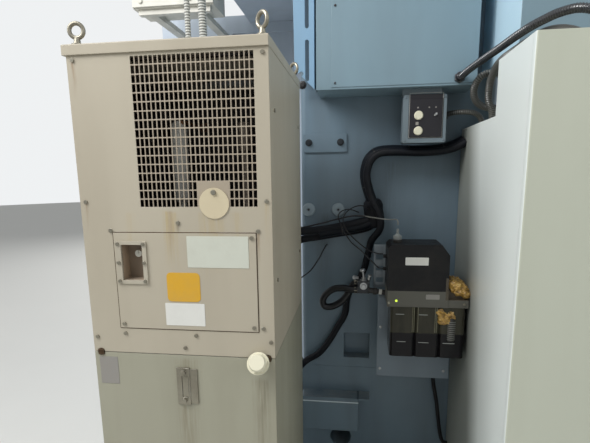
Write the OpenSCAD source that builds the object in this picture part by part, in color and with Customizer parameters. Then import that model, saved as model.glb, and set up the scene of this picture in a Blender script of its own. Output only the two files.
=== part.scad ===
// Vertical machining centre, seen from its service side in the photograph.
// X runs left to right as seen from behind, Y from the rear to the operator's door, Z up from the floor.
// Origin: centre of the outer box, on the floor.

/* [Overall] */
// Width over the sheet-metal guards
machine_w = 2500; // [2440:10:2700]
// Depth from the oil filler cap at the rear to the control buttons at the front
machine_d = 3280; // [3240:10:3400]
// Height of the guards
guard_h = 2240; // [2200:10:2300]
// Clear gap left between pieces that slide past each other
slide_gap = 0.5; // [0.3:0.1:1]
// Clear gap left between a turning piece and its seat
turn_gap = 0.3; // [0.2:0.1:0.5]

/* [Bed and column] */
// Height of the levelling feet under the bed
foot_h = 60; // [50:5:80]
// Radius of a levelling foot's pad
foot_r = 62; // [50:1:70]
// Width of the bed's flange on the feet
bed_w = 900; // [880:10:960]
// Height of the bed's top above the floor
bed_top = 485; // [470:5:500]
// Depth of the bed from the column's rear wall to its front end
bed_d = 1850; // [1800:10:1900]
// Width of the column
column_w = 810; // [800:5:840]
// Depth of the column
column_d = 572; // [560:2:590]
// Height of the column's top above the floor
column_top = 2250; // [2200:10:2300]
// Radius of the column's vertical corners
column_r = 22; // [10:1:30]
// Width of the channel down the column's front and along the bed
screw_channel_w = 200; // [190:5:220]
// Depth of that channel
screw_channel_d = 60; // [55:1:70]
// Width and height of the small square pocket low in the column's rear wall
pocket = [118, 121];
// Left edge and lower edge of that pocket
pocket_at = [-210, 532];
// Depth of that pocket
pocket_d = 60; // [40:5:100]
// Width, height and reach of the cast ledge behind the bed
ledge = [268, 166, 78];
// Left edge and lower edge of the ledge
ledge_at = [-407, 195];
// Radius of the round hole under the ledge
jack_hole_r = 50; // [40:1:54]

/* [Slides] */
// Height of a linear guide rail
rail_h = 40; // [36:1:44]
// Width of a linear guide rail
rail_w = 45; // [40:1:50]
// Length of one runner block on a rail
runner_l = 130; // [110:5:150]
// Width of a runner block
runner_w = 96; // [90:1:110]
// Distance from the middle to each bed rail
bed_rail_x = 330; // [320:1:340]
// Distance from the middle to each column rail
column_rail_x = 230; // [225:1:245]
// Distance from the saddle's middle to each of its rails
saddle_rail_y = 170; // [160:1:180]
// Reach of the saddle past the table's travel on each side
saddle_over = 300; // [295:5:320]
// Depth of the saddle along the bed
saddle_d = 520; // [500:5:540]
// Thickness of the saddle's body
saddle_h = 145; // [135:1:155]
// Length of the work table
table_w = 1000; // [900:10:1040]
// Depth of the work table
table_d = 550; // [520:5:560]
// Thickness of the work table
table_h = 100; // [90:1:105]
// Width of a T-slot at its mouth
tslot_w = 18; // [14:1:22]
// Distance between T-slots
tslot_pitch = 100; // [90:1:105]
// Number of T-slots
tslot_count = 5; // [3:2:5]
// Travel of the table to each side
x_travel = 400; // [300:10:410]
// Travel of the saddle to each side
y_travel = 255; // [200:5:260]
// Radius of the ball screws
screw_r = 18; // [16:1:20]

/* [Spindle head] */
// Distance from the column's front face to the spindle's axis
spindle_reach = 590; // [580:1:600]
// Height of the spindle's nose above the floor, head fully up
nose_z = 1450; // [1440:5:1480]
// Width of the head
head_w = 380; // [360:2:384]
// Height of the head's casting above its lower face
head_h = 400; // [380:5:420]
// Radius of the spindle cartridge's flange
cartridge_r = 95; // [88:1:100]
// Radius of the turning spindle nose
spindle_r = 44; // [42:1:48]
// Height of the spindle motor
motor_h = 330; // [300:5:350]
// Side of the spindle motor's square body
motor_w = 230; // [210:2:240]

/* [Oil chiller] */
// Width of the chiller's body
chiller_w = 540; // [520:2:546]
// Depth of the chiller's body
chiller_d = 600; // [590:2:620]
// Right face of the chiller
chiller_right = -374; // [-390:1:-370]
// Height of the seam between the oil tank and the refrigeration unit
tank_top = 888; // [870:1:900]
// Height of the refrigeration unit's body
chiller_top = 1706; // [1696:1:1716]
// Height of the folded rim of the lid
lid_h = 27; // [22:1:30]
// Overhang of the lid past the body
lid_over = 9; // [4:1:10]
// Sheet thickness of the chiller
sheet = 2; // [1.5:0.5:3]
// Clear space between the chiller and the column's rear wall
service_gap = 276; // [270:1:290]
// Height of the tank's base channels
tank_foot_h = 60; // [50:5:80]
// Columns and rows of punched slots in the air intake
grille_n = [26, 17];
// Distance between slots, across and up
grille_pitch = [12.6, 22.9];
// Width and height of one slot
grille_slot = [9.5, 19.5];
// Left edge and lower edge of the punched field
grille_at = [-737, 1311];
// Columns kept unpunched behind the swinging disc, first and last
tab_cols = [13, 19];
// Rows kept unpunched behind the swinging disc
tab_rows = 3; // [2:1:4]
// Radius of the swinging disc
disc_r = 41; // [36:1:44]
// Pivot of the swinging disc
disc_pivot = [-530, 1349];
// Distance from the pivot to the disc's centre
disc_drop = 29; // [24:1:32]
// Left, lower, right and upper edges of the access panel
access = [-824, 965, -419, 1240];
// Left, lower, right and upper edges of the thermostat window's frame
window = [-820, 1096, -729, 1217];
// Width of the frame around the thermostat window
window_rim = [15, 10];
// Depth of the recess behind the thermostat window
window_d = 40; // [30:1:50]
// Radius of the thermostat knob
knob_r = 10; // [8:1:12]
// Centre of the thermostat knob
knob_at = [-767, 1178];
// Radius of a panel screw's head
screw_head_r = 5.5; // [4:0.5:7]
// Outer radius of an eyebolt's ring
eye_r = 23.5; // [20:0.5:26]
// Thickness of an eyebolt's ring
eye_t = 11; // [9:0.5:12]
// Distance from the oil filler cap's tip to the tank's front
cap_reach = 52; // [45:1:60]
// Centre of the oil filler cap
cap_at = [-418, 869];
// Half width of the filler cap's hexagon
cap_r = 25; // [22:1:28]
// Radius of the fan in the chiller's rear wall
fan_r = 185; // [160:5:195]

/* [Rear fittings] */
// Left, lower, right and upper edges of the blue relay box
relay = [-318, 1710, 280, 2450];
// Depth of the relay box from the column's wall
relay_d = 200; // [190:1:210]
// Left, lower, right and upper edges of the switch box
switchbox = [17, 1505, 181, 1686];
// Depth of the switch box
switch_d = 70; // [60:1:80]
// Distance from the column's wall to the switch box's face
switch_reach = 168; // [160:1:180]
// Radius of a push button
button_r = 17; // [14:1:19]
// Travel of a push button
button_travel = 4; // [3:1:6]
// Left, lower, right and upper edges of the lubricator's bracket plate
bracket = [-64, 526, 236, 912];
// Distance from the column's wall to the lubricator's bracket plate
bracket_reach = 172; // [160:1:180]
// Depth of the lubricator in front of its bracket
lube_d = 158; // [140:1:170]
// Height of the seam between the lubricator's tank and its pump head
lube_seam = 885; // [880:1:890]
// Height of the lubricator's oil tank
lube_tank_h = 202; // [190:1:210]
// Width of the lubricator's oil tank
lube_tank_w = 280; // [270:1:284]
// Left edge of the lubricator's pump head
lube_left = -37; // [-40:1:-30]
// Width of the lubricator's flange
lube_flange_w = 302; // [300:1:306]
// Width of the pump's cover
lube_cover_w = 227; // [220:1:235]
// Height of the pump's flange
lube_flange_h = 63; // [58:1:66]
// Height of the pump's cover
lube_cover_h = 178; // [170:1:185]

/* [Electrical cabinet] */
// Left face of the electrical cabinet
cabinet_left = 272; // [270:1:290]
// Distance from the column's wall to the cabinet's door
cabinet_reach = 800; // [780:2:820]
// Depth of the cabinet behind its door
cabinet_d = 762; // [740:2:770]
// Height of the cabinet
cabinet_h = 1729; // [1720:1:1740]
// Height of the lower rear part of the cabinet, under the cable loops
cabinet_low = 1563; // [1540:1:1580]
// Depth of the cabinet's full-height part behind the door
cabinet_high_d = 286; // [270:1:300]
// Height of the cabinet's plinth
plinth_h = 100; // [80:5:120]
// Wall thickness of the cabinet
cabinet_t = 4; // [3:1:6]
// Thickness of the cabinet's folded door
door_t = 20; // [16:1:24]

/* [Service box] */
// Left face, underside, right face and top of the blue box above the cabinet
service = [341, 1765, 1140, 2450];
// Depth of the blue box from the column's wall
service_d = 450; // [440:1:460]

/* [Tool changer] */
// Distance from the spindle's axis to the change arm's axis
arm_x = 272; // [268:1:276]
// Number of tool pots
pot_count = 24; // [16:4:24]
// Radius of the circle of tool pots
pot_circle = 350; // [340:1:360]
// Radius of a tool pot
pot_r = 38; // [34:1:40]
// Length of a tool pot
pot_l = 118; // [110:1:125]
// Height of the magazine's axis above the floor
magazine_z = 1930; // [1920:5:1960]
// Stroke of the tool change arm
arm_stroke = 110; // [90:5:120]

/* [Guards and controls] */
// Distance from the column's rear wall to the rear guards
guard_setback = 562; // [555:1:566]
// Depth of the guards from back to front
guard_d = 1650; // [1600:10:1660]
// Thickness of a folded guard panel
guard_t = 30; // [25:1:35]
// Height of the guards' lower edge above the floor
guard_foot = 90; // [80:5:120]
// Width of the door opening
opening_w = 800; // [700:10:800]
// Lower and upper edge of the door opening
opening_z = [860, 1950];
// Thickness of the sliding door
slide_door_t = 34; // [30:1:40]
// Overlap of the sliding door past its opening
door_lap = 30; // [20:1:40]
// Rim of the door around its window
door_rim = 90; // [80:1:120]
// Width of the control pendant
pendant_w = 360; // [330:5:380]
// Height of the control pendant
pendant_h = 600; // [560:10:640]
// Underside of the control pendant
pendant_z = 1050; // [1000:10:1080]
// Depth of the control pendant
pendant_d = 64; // [60:1:70]
// How far the emergency stop stands out
stop_reach = 26; // [22:1:30]
// Radius of the emergency stop's head
stop_r = 20; // [18:1:22]

/* [Hidden] */
$fn = 48;

// Planes worked out from the driving sizes
rear_y = -machine_d / 2;
front_y = machine_d / 2;
chiller_front = rear_y + cap_reach;
chiller_back = chiller_front + chiller_d;
wall_y = chiller_back + service_gap;
column_front = wall_y + column_d;
spindle_y = column_front + spindle_reach;
guard_back = wall_y + guard_setback;
guard_front = guard_back + guard_d;
chiller_left = chiller_right - chiller_w;
half_w = machine_w / 2;
cabinet_front = wall_y - cabinet_reach;

// Heights of the slides
runner_h = rail_h + 8;
runner_lift = 12;
saddle_z = bed_top + runner_lift + runner_h;
saddle_top = saddle_z + saddle_h;
table_z = saddle_top + runner_lift + runner_h;
table_top = table_z + table_h;
bed_screw_z = bed_top + 8;
saddle_screw_z = saddle_top + 16;
column_screw_y = column_front + 12;
nut_r = screw_r + 16;

// A solid box between two corners
module block(x, y, z) {
  translate([x[0], y[0], z[0]]) cube([x[1] - x[0], y[1] - y[0], z[1] - z[0]]);
}

// A rectangle with four round corners, from its corner
module round_rect(size, r) {
  translate([r, 0]) square([size[0] - 2 * r, size[1]]);
  translate([0, r]) square([size[0], size[1] - 2 * r]);
  for (x = [r, size[0] - r], y = [r, size[1] - r]) translate([x, y]) circle(r);
}

// An outline drawn in X and Z, given depth from y towards the operator
module face_plate(y, t) {
  translate([0, y + t, 0]) rotate([90, 0, 0]) linear_extrude(t) children();
}

// An outline drawn in Y and Z, given width from x to the right
module side_plate(x, t) {
  translate([x, 0, 0]) rotate([90, 0, 90]) linear_extrude(t) children();
}

// A round bar along Y that starts at y
module rod_y(x, z, y, r, l) {
  translate([x, y, z]) rotate([-90, 0, 0]) cylinder(r = r, h = l);
}

// A rectangle in X and Z from its left, lower, right and upper edges
module edges(e) {
  translate([e[0], e[1]]) square([e[2] - e[0], e[3] - e[1]]);
}

jack_hole_d = 300;
saddle_w = 2 * (x_travel + saddle_over);

// The cast bed: a flanged section with the screw channel, a rear ledge and a jacking hole
module bed() {
  foot_x = bed_w / 2;
  waist = foot_x - 40;
  channel = screw_channel_w / 2 - 10;
  bed_end = wall_y + bed_d;
  color("lightsteelblue") difference() {
    union() {
      face_plate(wall_y, bed_d) polygon([[-foot_x, foot_h], [foot_x, foot_h], [foot_x, foot_h + 70],
        [waist, foot_h + 110], [waist, bed_top], [channel, bed_top], [channel, bed_top - screw_channel_d],
        [-channel, bed_top - screw_channel_d], [-channel, bed_top], [-waist, bed_top],
        [-waist, foot_h + 110], [-foot_x, foot_h + 70]]);
      block([-channel, channel], [wall_y, column_front - 1], [bed_top - screw_channel_d, bed_top]);
      translate([ledge_at[0], wall_y, ledge_at[1]]) rotate([90, 0, 0])
        linear_extrude(ledge[2]) round_rect([ledge[0], ledge[1]], 12);
      side_plate(ledge_at[0] + ledge[0], 50) polygon([[wall_y, ledge_at[1] + ledge[1]],
        [wall_y, ledge_at[1] + ledge[1] - 18], [wall_y - ledge[2], ledge_at[1] + ledge[1] - 9],
        [wall_y - ledge[2], ledge_at[1] + ledge[1]]]);
    }
    rod_y(-223, foot_h + 58, wall_y - 1, jack_hole_r, jack_hole_d);
    for (x = [-foot_x + 80, 60]) block([x, x + foot_x - 140], [column_front + 40, bed_end - 120],
      [foot_h - 1, foot_h + 180]);
  }
}

// Where the levelling feet stand under the bed
foot_x = bed_w / 2 - 70;
foot_ys = [wall_y + 70, wall_y + bed_d / 2 - 315, wall_y + bed_d - 60];

// Six levelling feet: a pad, a screw and a lock nut
module leveling_feet() {
  color("dimgray") for (x = [-foot_x, foot_x], y = foot_ys) translate([x, y, 0]) {
    rotate_extrude() polygon([[0, 0], [foot_r, 0], [foot_r, 16], [foot_r - 8, 24], [20, 30],
      [20, foot_h - 16], [0, foot_h - 16]]);
    translate([0, 0, foot_h - 16]) cylinder(r = 30, h = 16, $fn = 6);
  }
}

column_flange = 30;

// The cast column with its rounded corners, front screw channel, base flange and top cap
module column() {
  flange = column_flange;
  color("slategray") difference() {
    union() {
      translate([-column_w / 2, wall_y, bed_top]) linear_extrude(column_top - bed_top)
        round_rect([column_w, column_d], column_r);
      block([-column_w / 2 + column_r, column_w / 2 - column_r], [wall_y + 40, column_front + flange],
        [bed_top, bed_top + 50]);
    }
    block([-screw_channel_w / 2, screw_channel_w / 2], [column_front - screw_channel_d,
      column_front + flange + 1],
      [bed_top + 50, column_top + 1]);
    block([pocket_at[0], pocket_at[0] + pocket[0]], [wall_y - 1, wall_y + pocket_d],
      [pocket_at[1], pocket_at[1] + pocket[1]]);
    for (s = [-1, 1]) block([s * column_w / 2 - 30, s * column_w / 2 + 30],
      [wall_y + 120, column_front - 120], [bed_top + 160, column_top - 200]);
  }
}

// A bolted cover plate and two domed plugs on the column's rear wall
module column_fittings() {
  left = -column_w / 2;
  plate = [left + 11, 1482, left + 201, 1562];
  color("slategray") face_plate(wall_y - 8, 8) translate([plate[0], plate[1]])
    round_rect([plate[2] - plate[0], plate[3] - plate[1]], 6);
  color("dimgray") for (x = [plate[0] + 25, plate[2] - 27])
    translate([x, wall_y - 8, 1524]) rotate([90, 0, 0]) {
    cylinder(r = 15, h = 3);
    cylinder(r = 11, h = 11, $fn = 6);
  }
  color("lightslategray") for (x = [-372, -239]) translate([x, wall_y, 1231]) rotate([90, 0, 0])
    rotate_extrude() polygon([[0, 0], [30, 0], [30, 5], [26, 10], [7, 12], [7, 7], [0, 7]]);
}

// The section of a linear guide rail, standing on its base
module rail_section() {
  w = rail_w / 2;
  polygon([[-w, 0], [w, 0], [w, rail_h * 0.4], [w - 6, rail_h * 0.52], [w - 6, rail_h * 0.66],
    [w, rail_h * 0.78], [w, rail_h], [-w, rail_h], [-w, rail_h * 0.78], [-w + 6, rail_h * 0.66],
    [-w + 6, rail_h * 0.52], [-w, rail_h * 0.4]]);
}

// The section of a runner block that hooks round the rail, standing on the rail's base
module runner_section() {
  w = rail_w / 2 + slide_gap;
  o = runner_w / 2;
  top = rail_h + slide_gap;
  polygon([[-o, runner_lift], [-w, runner_lift], [-w, rail_h * 0.4], [-w + 6, rail_h * 0.52 + slide_gap],
    [-w + 6, rail_h * 0.66 - slide_gap], [-w, rail_h * 0.78], [-w, top], [w, top], [w, rail_h * 0.78],
    [w - 6, rail_h * 0.66 - slide_gap], [w - 6, rail_h * 0.52 + slide_gap], [w, rail_h * 0.4],
    [w, runner_lift], [o, runner_lift], [o, runner_lift + runner_h], [-o, runner_lift + runner_h]]);
}

bed_rail_y = [column_front + 60, spindle_y + y_travel + saddle_d / 2 + 30];
column_rail_z = [nose_z - 560, column_top - 60];

// Two rails on the bed and two up the column's front
module guide_rails() {
  color("silver") {
    for (x = [-bed_rail_x, bed_rail_x]) translate([x, bed_rail_y[1], bed_top]) rotate([90, 0, 0])
      linear_extrude(bed_rail_y[1] - bed_rail_y[0]) rail_section();
    for (x = [-column_rail_x, column_rail_x]) translate([x, column_front, column_rail_z[0]])
      linear_extrude(column_rail_z[1] - column_rail_z[0]) rail_section();
  }
}

// The saddle: four runner blocks, a cast cross slide, its two rails, the screw nut and the end bearings
module saddle() {
  ys = spindle_y;
  end_x = saddle_w / 2;
  bearing = [36, 100, 60];
  color("lightsteelblue") {
    difference() {
      union() {
        block([-end_x, end_x], [ys - saddle_d / 2, ys + saddle_d / 2], [saddle_z + 40, saddle_top]);
        face_plate(ys - saddle_d / 2, saddle_d) polygon([[-bed_rail_x - 70, saddle_z], [bed_rail_x + 70,
          saddle_z],
          [bed_rail_x + 170, saddle_z + 40], [-bed_rail_x - 170, saddle_z + 40]]);
        translate([0, ys, bed_screw_z]) rotate([90, 0, 0]) cylinder(r = nut_r, h = 110, center = true);
        block([-nut_r, nut_r], [ys - 55, ys + 55], [bed_screw_z, saddle_z]);
        for (x = [-end_x, end_x - bearing[0]]) block([x, x + bearing[0]], [ys - bearing[1] / 2,
          ys + bearing[1] / 2],
          [saddle_top - 45, saddle_top + bearing[2] - 10]);
      }
      block([-end_x + bearing[0], end_x - bearing[0]], [ys - 60, ys + 60], [saddle_top - 45, saddle_top + 1]);
      translate([0, ys, bed_screw_z]) rotate([90, 0, 0]) cylinder(r = screw_r + turn_gap, h = 200, center =
        true);
      translate([0, ys, saddle_screw_z]) rotate([0, 90, 0])
        cylinder(r = screw_r - 4 + turn_gap, h = saddle_w + 2, center = true);
    }
    for (x = [-bed_rail_x, bed_rail_x], y = [-1, 1]) translate([x, ys + y * (saddle_d / 2 - runner_l / 2)
      + runner_l / 2, bed_top]) rotate([90, 0, 0]) linear_extrude(runner_l) runner_section();
    for (y = [-saddle_rail_y, saddle_rail_y]) translate([-end_x, ys + y, saddle_top]) rotate([90, 0, 90])
      linear_extrude(saddle_w) rail_section();
  }
}

// The work table with its T-slots, coolant gutter, runner blocks and screw nut
module work_table() {
  ys = spindle_y;
  head_w2 = tslot_w + 14;
  color("gray") {
    difference() {
      union() {
        block([-table_w / 2, table_w / 2], [ys - table_d / 2, ys + table_d / 2], [table_z, table_top]);
        block([-60, 60], [ys - 48, ys + 48], [saddle_screw_z, table_z]);
        translate([0, ys, saddle_screw_z]) rotate([0, 90, 0]) cylinder(r = nut_r - 4, h = 120, center = true);
      }
      for (i = [0 : tslot_count - 1]) translate([0, ys + (i - (tslot_count - 1) / 2) * tslot_pitch,
        table_top]) {
        block([-table_w, table_w], [-tslot_w / 2, tslot_w / 2], [-table_h * 0.3, 1]);
        block([-table_w, table_w], [-head_w2 / 2, head_w2 / 2], [-table_h * 0.42, -table_h * 0.24]);
      }
      for (y = [ys - table_d / 2 + 12, ys + table_d / 2 - 32]) block([-table_w, table_w], [y, y + 20],
        [table_top - 14, table_top + 1]);
      translate([0, ys, saddle_screw_z]) rotate([0, 90, 0])
        cylinder(r = screw_r - 4 + turn_gap, h = 200, center = true);
    }
    for (x = [-1, 1], y = [-saddle_rail_y, saddle_rail_y]) translate([x * 220 - runner_l / 2, ys + y,
      saddle_top])
      rotate([90, 0, 90]) linear_extrude(runner_l) runner_section();
  }
}

head_back = column_front + runner_lift + runner_h;
head_bottom = nose_z + 110;
head_top = head_bottom + head_h;

// The spindle head: a cast arm with a sloped underside, its runner blocks and its screw nut
module spindle_head() {
  tip = spindle_y + motor_w / 2 + 55;
  color("lightsteelblue") {
    difference() {
      union() {
        side_plate(-head_w / 2, head_w) polygon([[head_back, head_bottom - 60], [head_back + 130,
          head_bottom - 60],
          [spindle_y - cartridge_r - 30, head_bottom], [tip - 25, head_bottom], [tip, head_bottom + 40],
          [tip, head_top - 70], [tip - 45, head_top], [head_back, head_top]]);
        block([-column_rail_x - 20, column_rail_x + 20], [head_back, head_back + 34],
          [head_bottom - 60, head_top]);
        block([-nut_r, nut_r], [column_screw_y, head_back], [head_bottom + 120, head_bottom + 230]);
        translate([0, column_screw_y, head_bottom + 120]) cylinder(r = nut_r, h = 110);
        translate([0, spindle_y, nose_z + 26]) cylinder(r = cartridge_r, h = head_bottom - nose_z);
        translate([0, spindle_y, nose_z]) cylinder(r1 = cartridge_r - 22, r2 = cartridge_r, h = 26);
      }
      translate([0, column_screw_y, head_bottom]) cylinder(r = screw_r + turn_gap, h = head_h);
      translate([0, spindle_y, nose_z - 1]) cylinder(r = spindle_r + turn_gap, h = head_h);
    }
    for (x = [-column_rail_x, column_rail_x], z = [head_bottom - 50, head_top - runner_l - 10])
      translate([x, column_front, z]) linear_extrude(runner_l) runner_section();
  }
}

// The spindle: a nose flange with two drive keys and a taper bore
module spindle() {
  color("silver") translate([0, spindle_y, nose_z]) {
    difference() {
      union() {
        cylinder(r = spindle_r, h = head_h - 30);
        translate([0, 0, -12]) cylinder(r = spindle_r, h = 13);
      }
      translate([0, 0, -13]) cylinder(r1 = 22.5, r2 = 12, h = 75);
    }
    for (x = [-1, 1]) translate([x * 34 - 7, -8, -19]) cube([14, 16, 7]);
  }
}

// The spindle motor: a square ribbed body with a round fan cowl
module spindle_motor() {
  half = motor_w / 2;
  color("dimgray") translate([0, spindle_y, head_top]) {
    translate([-half, -half, 0]) linear_extrude(24) round_rect([motor_w, motor_w], 12);
    translate([0, 0, 24]) linear_extrude(motor_h - 84) difference() {
      translate([-half + 8, -half + 8]) square(motor_w - 16);
      for (a = [0 : 90 : 270], i = [-3 : 3]) rotate(a) translate([i * 26 - 4, half - 20]) square([8, 30]);
    }
    translate([0, 0, motor_h - 60]) cylinder(r = half - 6, h = 48);
    translate([0, 0, motor_h - 12]) cylinder(r1 = half - 6, r2 = half - 24, h = 12);
  }
}

// A servo motor: square body, flange and rear cap, standing on its flange
module servo(side, height) {
  translate([-side / 2, -side / 2, 0]) linear_extrude(14) round_rect([side, side], 10);
  translate([-side / 2 + 7, -side / 2 + 7, 14]) linear_extrude(height - 64) round_rect([side - 14,
    side - 14], 16);
  translate([-side / 2 + 12, -side / 2 + 12, height - 50]) linear_extrude(50) round_rect([side - 24,
    side - 24], 6);
}

// The Z motor on its bracket over the column and the Y motor at the bed's front end
module axis_motors() {
  plate_t = 24;
  color("dimgray") {
    difference() {
      block([-110, 110], [column_screw_y - 190, column_screw_y + 90], [column_top, column_top + plate_t]);
      translate([0, column_screw_y, column_top - 1]) cylinder(r = screw_r + turn_gap, h = plate_t - 3);
    }
    translate([0, column_screw_y, column_top + plate_t]) servo(150, 210);
    translate([0, wall_y + bed_d, bed_screw_z - 8]) rotate([-90, 0, 0]) servo(140, 200);
  }
}

// A ball screw along Z from its lower end: thread body and two bearing ends
module screw_shaft(r, l) {
  color("silver") {
    translate([0, 0, 30]) cylinder(r = r, h = l - 60);
    cylinder(r = r - 5, h = 31);
    translate([0, 0, l - 31]) cylinder(r = r - 5, h = 31);
  }
}

// The vertical ball screw between its lower bearing and the Z motor's bracket
module z_ball_screw() {
  lower = bed_top + 50;
  translate([0, column_screw_y, lower]) screw_shaft(screw_r, column_top + 20 - lower);
}

// The ball screw along the bed
module y_ball_screw() {
  start = column_front + column_flange + turn_gap;
  translate([0, start, bed_screw_z]) rotate([-90, 0, 0]) screw_shaft(screw_r,
    wall_y + bed_d - turn_gap - start);
}

// The ball screw along the saddle
module x_ball_screw() {
  r = screw_r - 4;
  color("silver") translate([-saddle_w / 2, spindle_y, saddle_screw_z]) rotate([0, 90, 0])
    cylinder(r = r, h = saddle_w);
}

cap_tilt = 30;
neck_l = 22.5;
cap_tip = (cap_reach - (cap_r - 4) * sin(cap_tilt)) / cos(cap_tilt);

// Draws along the filler's axis
module on_filler() {
  translate([cap_at[0], chiller_front, cap_at[1]]) rotate([90 - cap_tilt, 0, 0]) children();
}

// The oil tank under the refrigeration unit, on two base channels, with its slanted filler neck
module chiller_tank() {
  color("tan") difference() {
    union() {
      block([chiller_left, chiller_right], [chiller_front, chiller_back], [tank_foot_h, tank_top - 1]);
      for (y = [chiller_front + 14, chiller_back - 94]) block([chiller_left + 10, chiller_right - 10],
        [y, y + 80], [0, tank_foot_h]);
      on_filler() translate([0, 0, -20]) cylinder(r = 17, h = 20 + neck_l);
    }
    on_filler() translate([0, 0, -50]) cylinder(r = 12, h = 51 + neck_l);
    for (x = [chiller_left + 16, chiller_right - 26]) rod_y(x + 5, tank_top, chiller_front - 1, 11, 13);
  }
}

// The sheet body of the refrigeration unit: base, sides and rear wall with the fan's round outlet
module chiller_cabinet() {
  y0 = chiller_front + sheet;
  color("tan") difference() {
    block([chiller_left, chiller_right], [y0, chiller_back], [tank_top + 1, chiller_top]);
    block([chiller_left + 3, chiller_right - 3], [y0 - 1, chiller_back - 3], [tank_top + 22,
      chiller_top + 1]);
    rod_y((chiller_left + chiller_right) / 2, fan_z, chiller_back - 20, fan_r, 30);
    for (x = [chiller_left + 16, chiller_right - 26]) rod_y(x + 5, tank_top, y0 - 1, 11, 14);
  }
}

fan_z = tank_top + 560;
fan_x = (chiller_left + chiller_right) / 2;

// The front sheet with its punched air intake, bare tab, window recess and corner notches
module chiller_front_panel() {
  color("tan") {
    difference() {
      face_plate(chiller_front, sheet) edges([chiller_left, tank_top + 1, chiller_right, chiller_top]);
      for (i = [0 : grille_n[0] - 1], j = [0 : grille_n[1] - 1])
        if (j >= tab_rows || i < tab_cols[0] || i > tab_cols[1])
          translate([grille_at[0] + i * grille_pitch[0], chiller_front - 1, grille_at[1]
            + j * grille_pitch[1]])
            cube([grille_slot[0], sheet + 2, grille_slot[1]]);
      face_plate(chiller_front - 1, sheet + 2) edges(window_hole);
      for (x = [chiller_left + 21, chiller_right - 21]) rod_y(x, tank_top, chiller_front - 1, 11, sheet + 2);
    }
    difference() {
      face_plate(chiller_front + sheet, window_d) edges(window_tray);
      face_plate(chiller_front, window_d) edges(window_hole);
    }
  }
}

window_hole = [window[0] + window_rim[0] + 2, window[1] + window_rim[1], window[2] - window_rim[0] + 3,
  window[3] - window_rim[1]];
window_tray = [window_hole[0] - sheet, window_hole[1] - sheet, window_hole[2] + sheet, window_hole[3]
  + sheet];

// The folded lid over the refrigeration unit
module chiller_lid() {
  x = [chiller_left - lid_over, chiller_right + lid_over / 9];
  y = [chiller_front - 5, chiller_back + 5];
  color("tan") difference() {
    block(x, y, [chiller_top, chiller_top + lid_h]);
    for (s = [0, 1]) translate([0, y[s], chiller_top + lid_h]) rotate([45, 0, 0])
      cube([3 * machine_w, 3, 3], center = true);
    translate([x[0], 0, chiller_top + lid_h]) rotate([0, 45, 0]) cube([3, 3 * machine_d, 3], center = true);
  }
}

// The screwed access panel with the opening for the window
module chiller_access_panel() {
  color("tan") difference() {
    face_plate(chiller_front - sheet, sheet) edges(access);
    face_plate(chiller_front - sheet - 1, sheet + 2) edges(window_hole);
  }
}

// The raised frame round the thermostat window
module chiller_window_frame() {
  color("silver") difference() {
    face_plate(chiller_front - 2 * sheet - 2, sheet + 2) edges(window);
    face_plate(chiller_front - 3 * sheet - 2, 3 * sheet) edges(window_hole);
  }
}

// The thermostat knob on the back of the window recess
module thermostat_knob() {
  back = chiller_front + sheet + window_d - sheet;
  color("gainsboro") translate([knob_at[0], back - 0.3, knob_at[1]]) rotate([90, 0, 0]) {
    cylinder(r = knob_r, h = 16);
    translate([-1.5, 0, 15]) cube([3, knob_r - 1, 3]);
  }
}

// The cream disc that swings on its screw in front of the bare tab
module swing_disc() {
  color("cornsilk") difference() {
    rod_y(disc_pivot[0], disc_pivot[1] - disc_drop, chiller_front - 0.3 - sheet, disc_r, sheet);
    rod_y(disc_pivot[0], disc_pivot[1], chiller_front - 2 - sheet, 3 + turn_gap, sheet + 4);
  }
}

// The fan in the rear wall: hub and seven pitched blades
module chiller_fan() {
  tip = fan_r - 12;
  color("dimgray") translate([fan_x, chiller_back - 60, fan_z]) rotate([-90, 0, 0]) {
    cylinder(r = 45, h = 40);
    for (i = [0 : 6]) rotate(i * 360 / 7) translate([tip / 2 + 15, 0, 20]) rotate([28, 0, 0])
      cube([tip - 30, 74, 3], center = true);
  }
}

// Compressor, receiver, condenser, fan motor and pipes on the unit's base
module refrigeration_unit() {
  base = tank_top + 22;
  rec = [-688, chiller_front + 180];
  comp = [-800, chiller_front + 260];
  cond_y = chiller_back - 190;
  color("darkslategray") {
    block([chiller_left + 8, chiller_right - 8], [cond_y, cond_y + 60], [base, chiller_top - 30]);
    rod_y(fan_x, fan_z, cond_y + 59, 50, 190 - 60 - 60 + 0.7);
    translate([comp[0], comp[1], base]) rotate_extrude() polygon([[0, 0], [92, 0], [92, 12], [84, 20], [84,
      190],
      [70, 228], [40, 246], [0, 250]]);
    block([comp[0], comp[0] + 60], [comp[1], cond_y + 1], [base + 90, base + 104]);
  }
  color("gainsboro") {
    translate([rec[0], rec[1], base]) cylinder(r = 14, h = 400);
    translate([rec[0], rec[1], base + 399]) rotate_extrude() polygon([[0, 0], [14, 0], [25, 14], [25, 226],
      [14, 244], [0, 248]]);
  }
  color("peru") {
    block([rec[0], rec[0] + 8], [rec[1], cond_y + 1], [base + 639, base + 647]);
    translate([-520, cond_y - 90, base]) cylinder(r = 9, h = 560);
    translate([-520, cond_y - 90, base + 559]) cylinder(r = 20, h = 90);
    block([-524, -516], [cond_y - 90, cond_y + 1], [base + 560, base + 568]);
    translate([-440, cond_y - 60, base]) cylinder(r = 11, h = 700);
    block([-445, -435], [cond_y - 60, cond_y + 1], [base + 640, base + 650]);
  }
}

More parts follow.
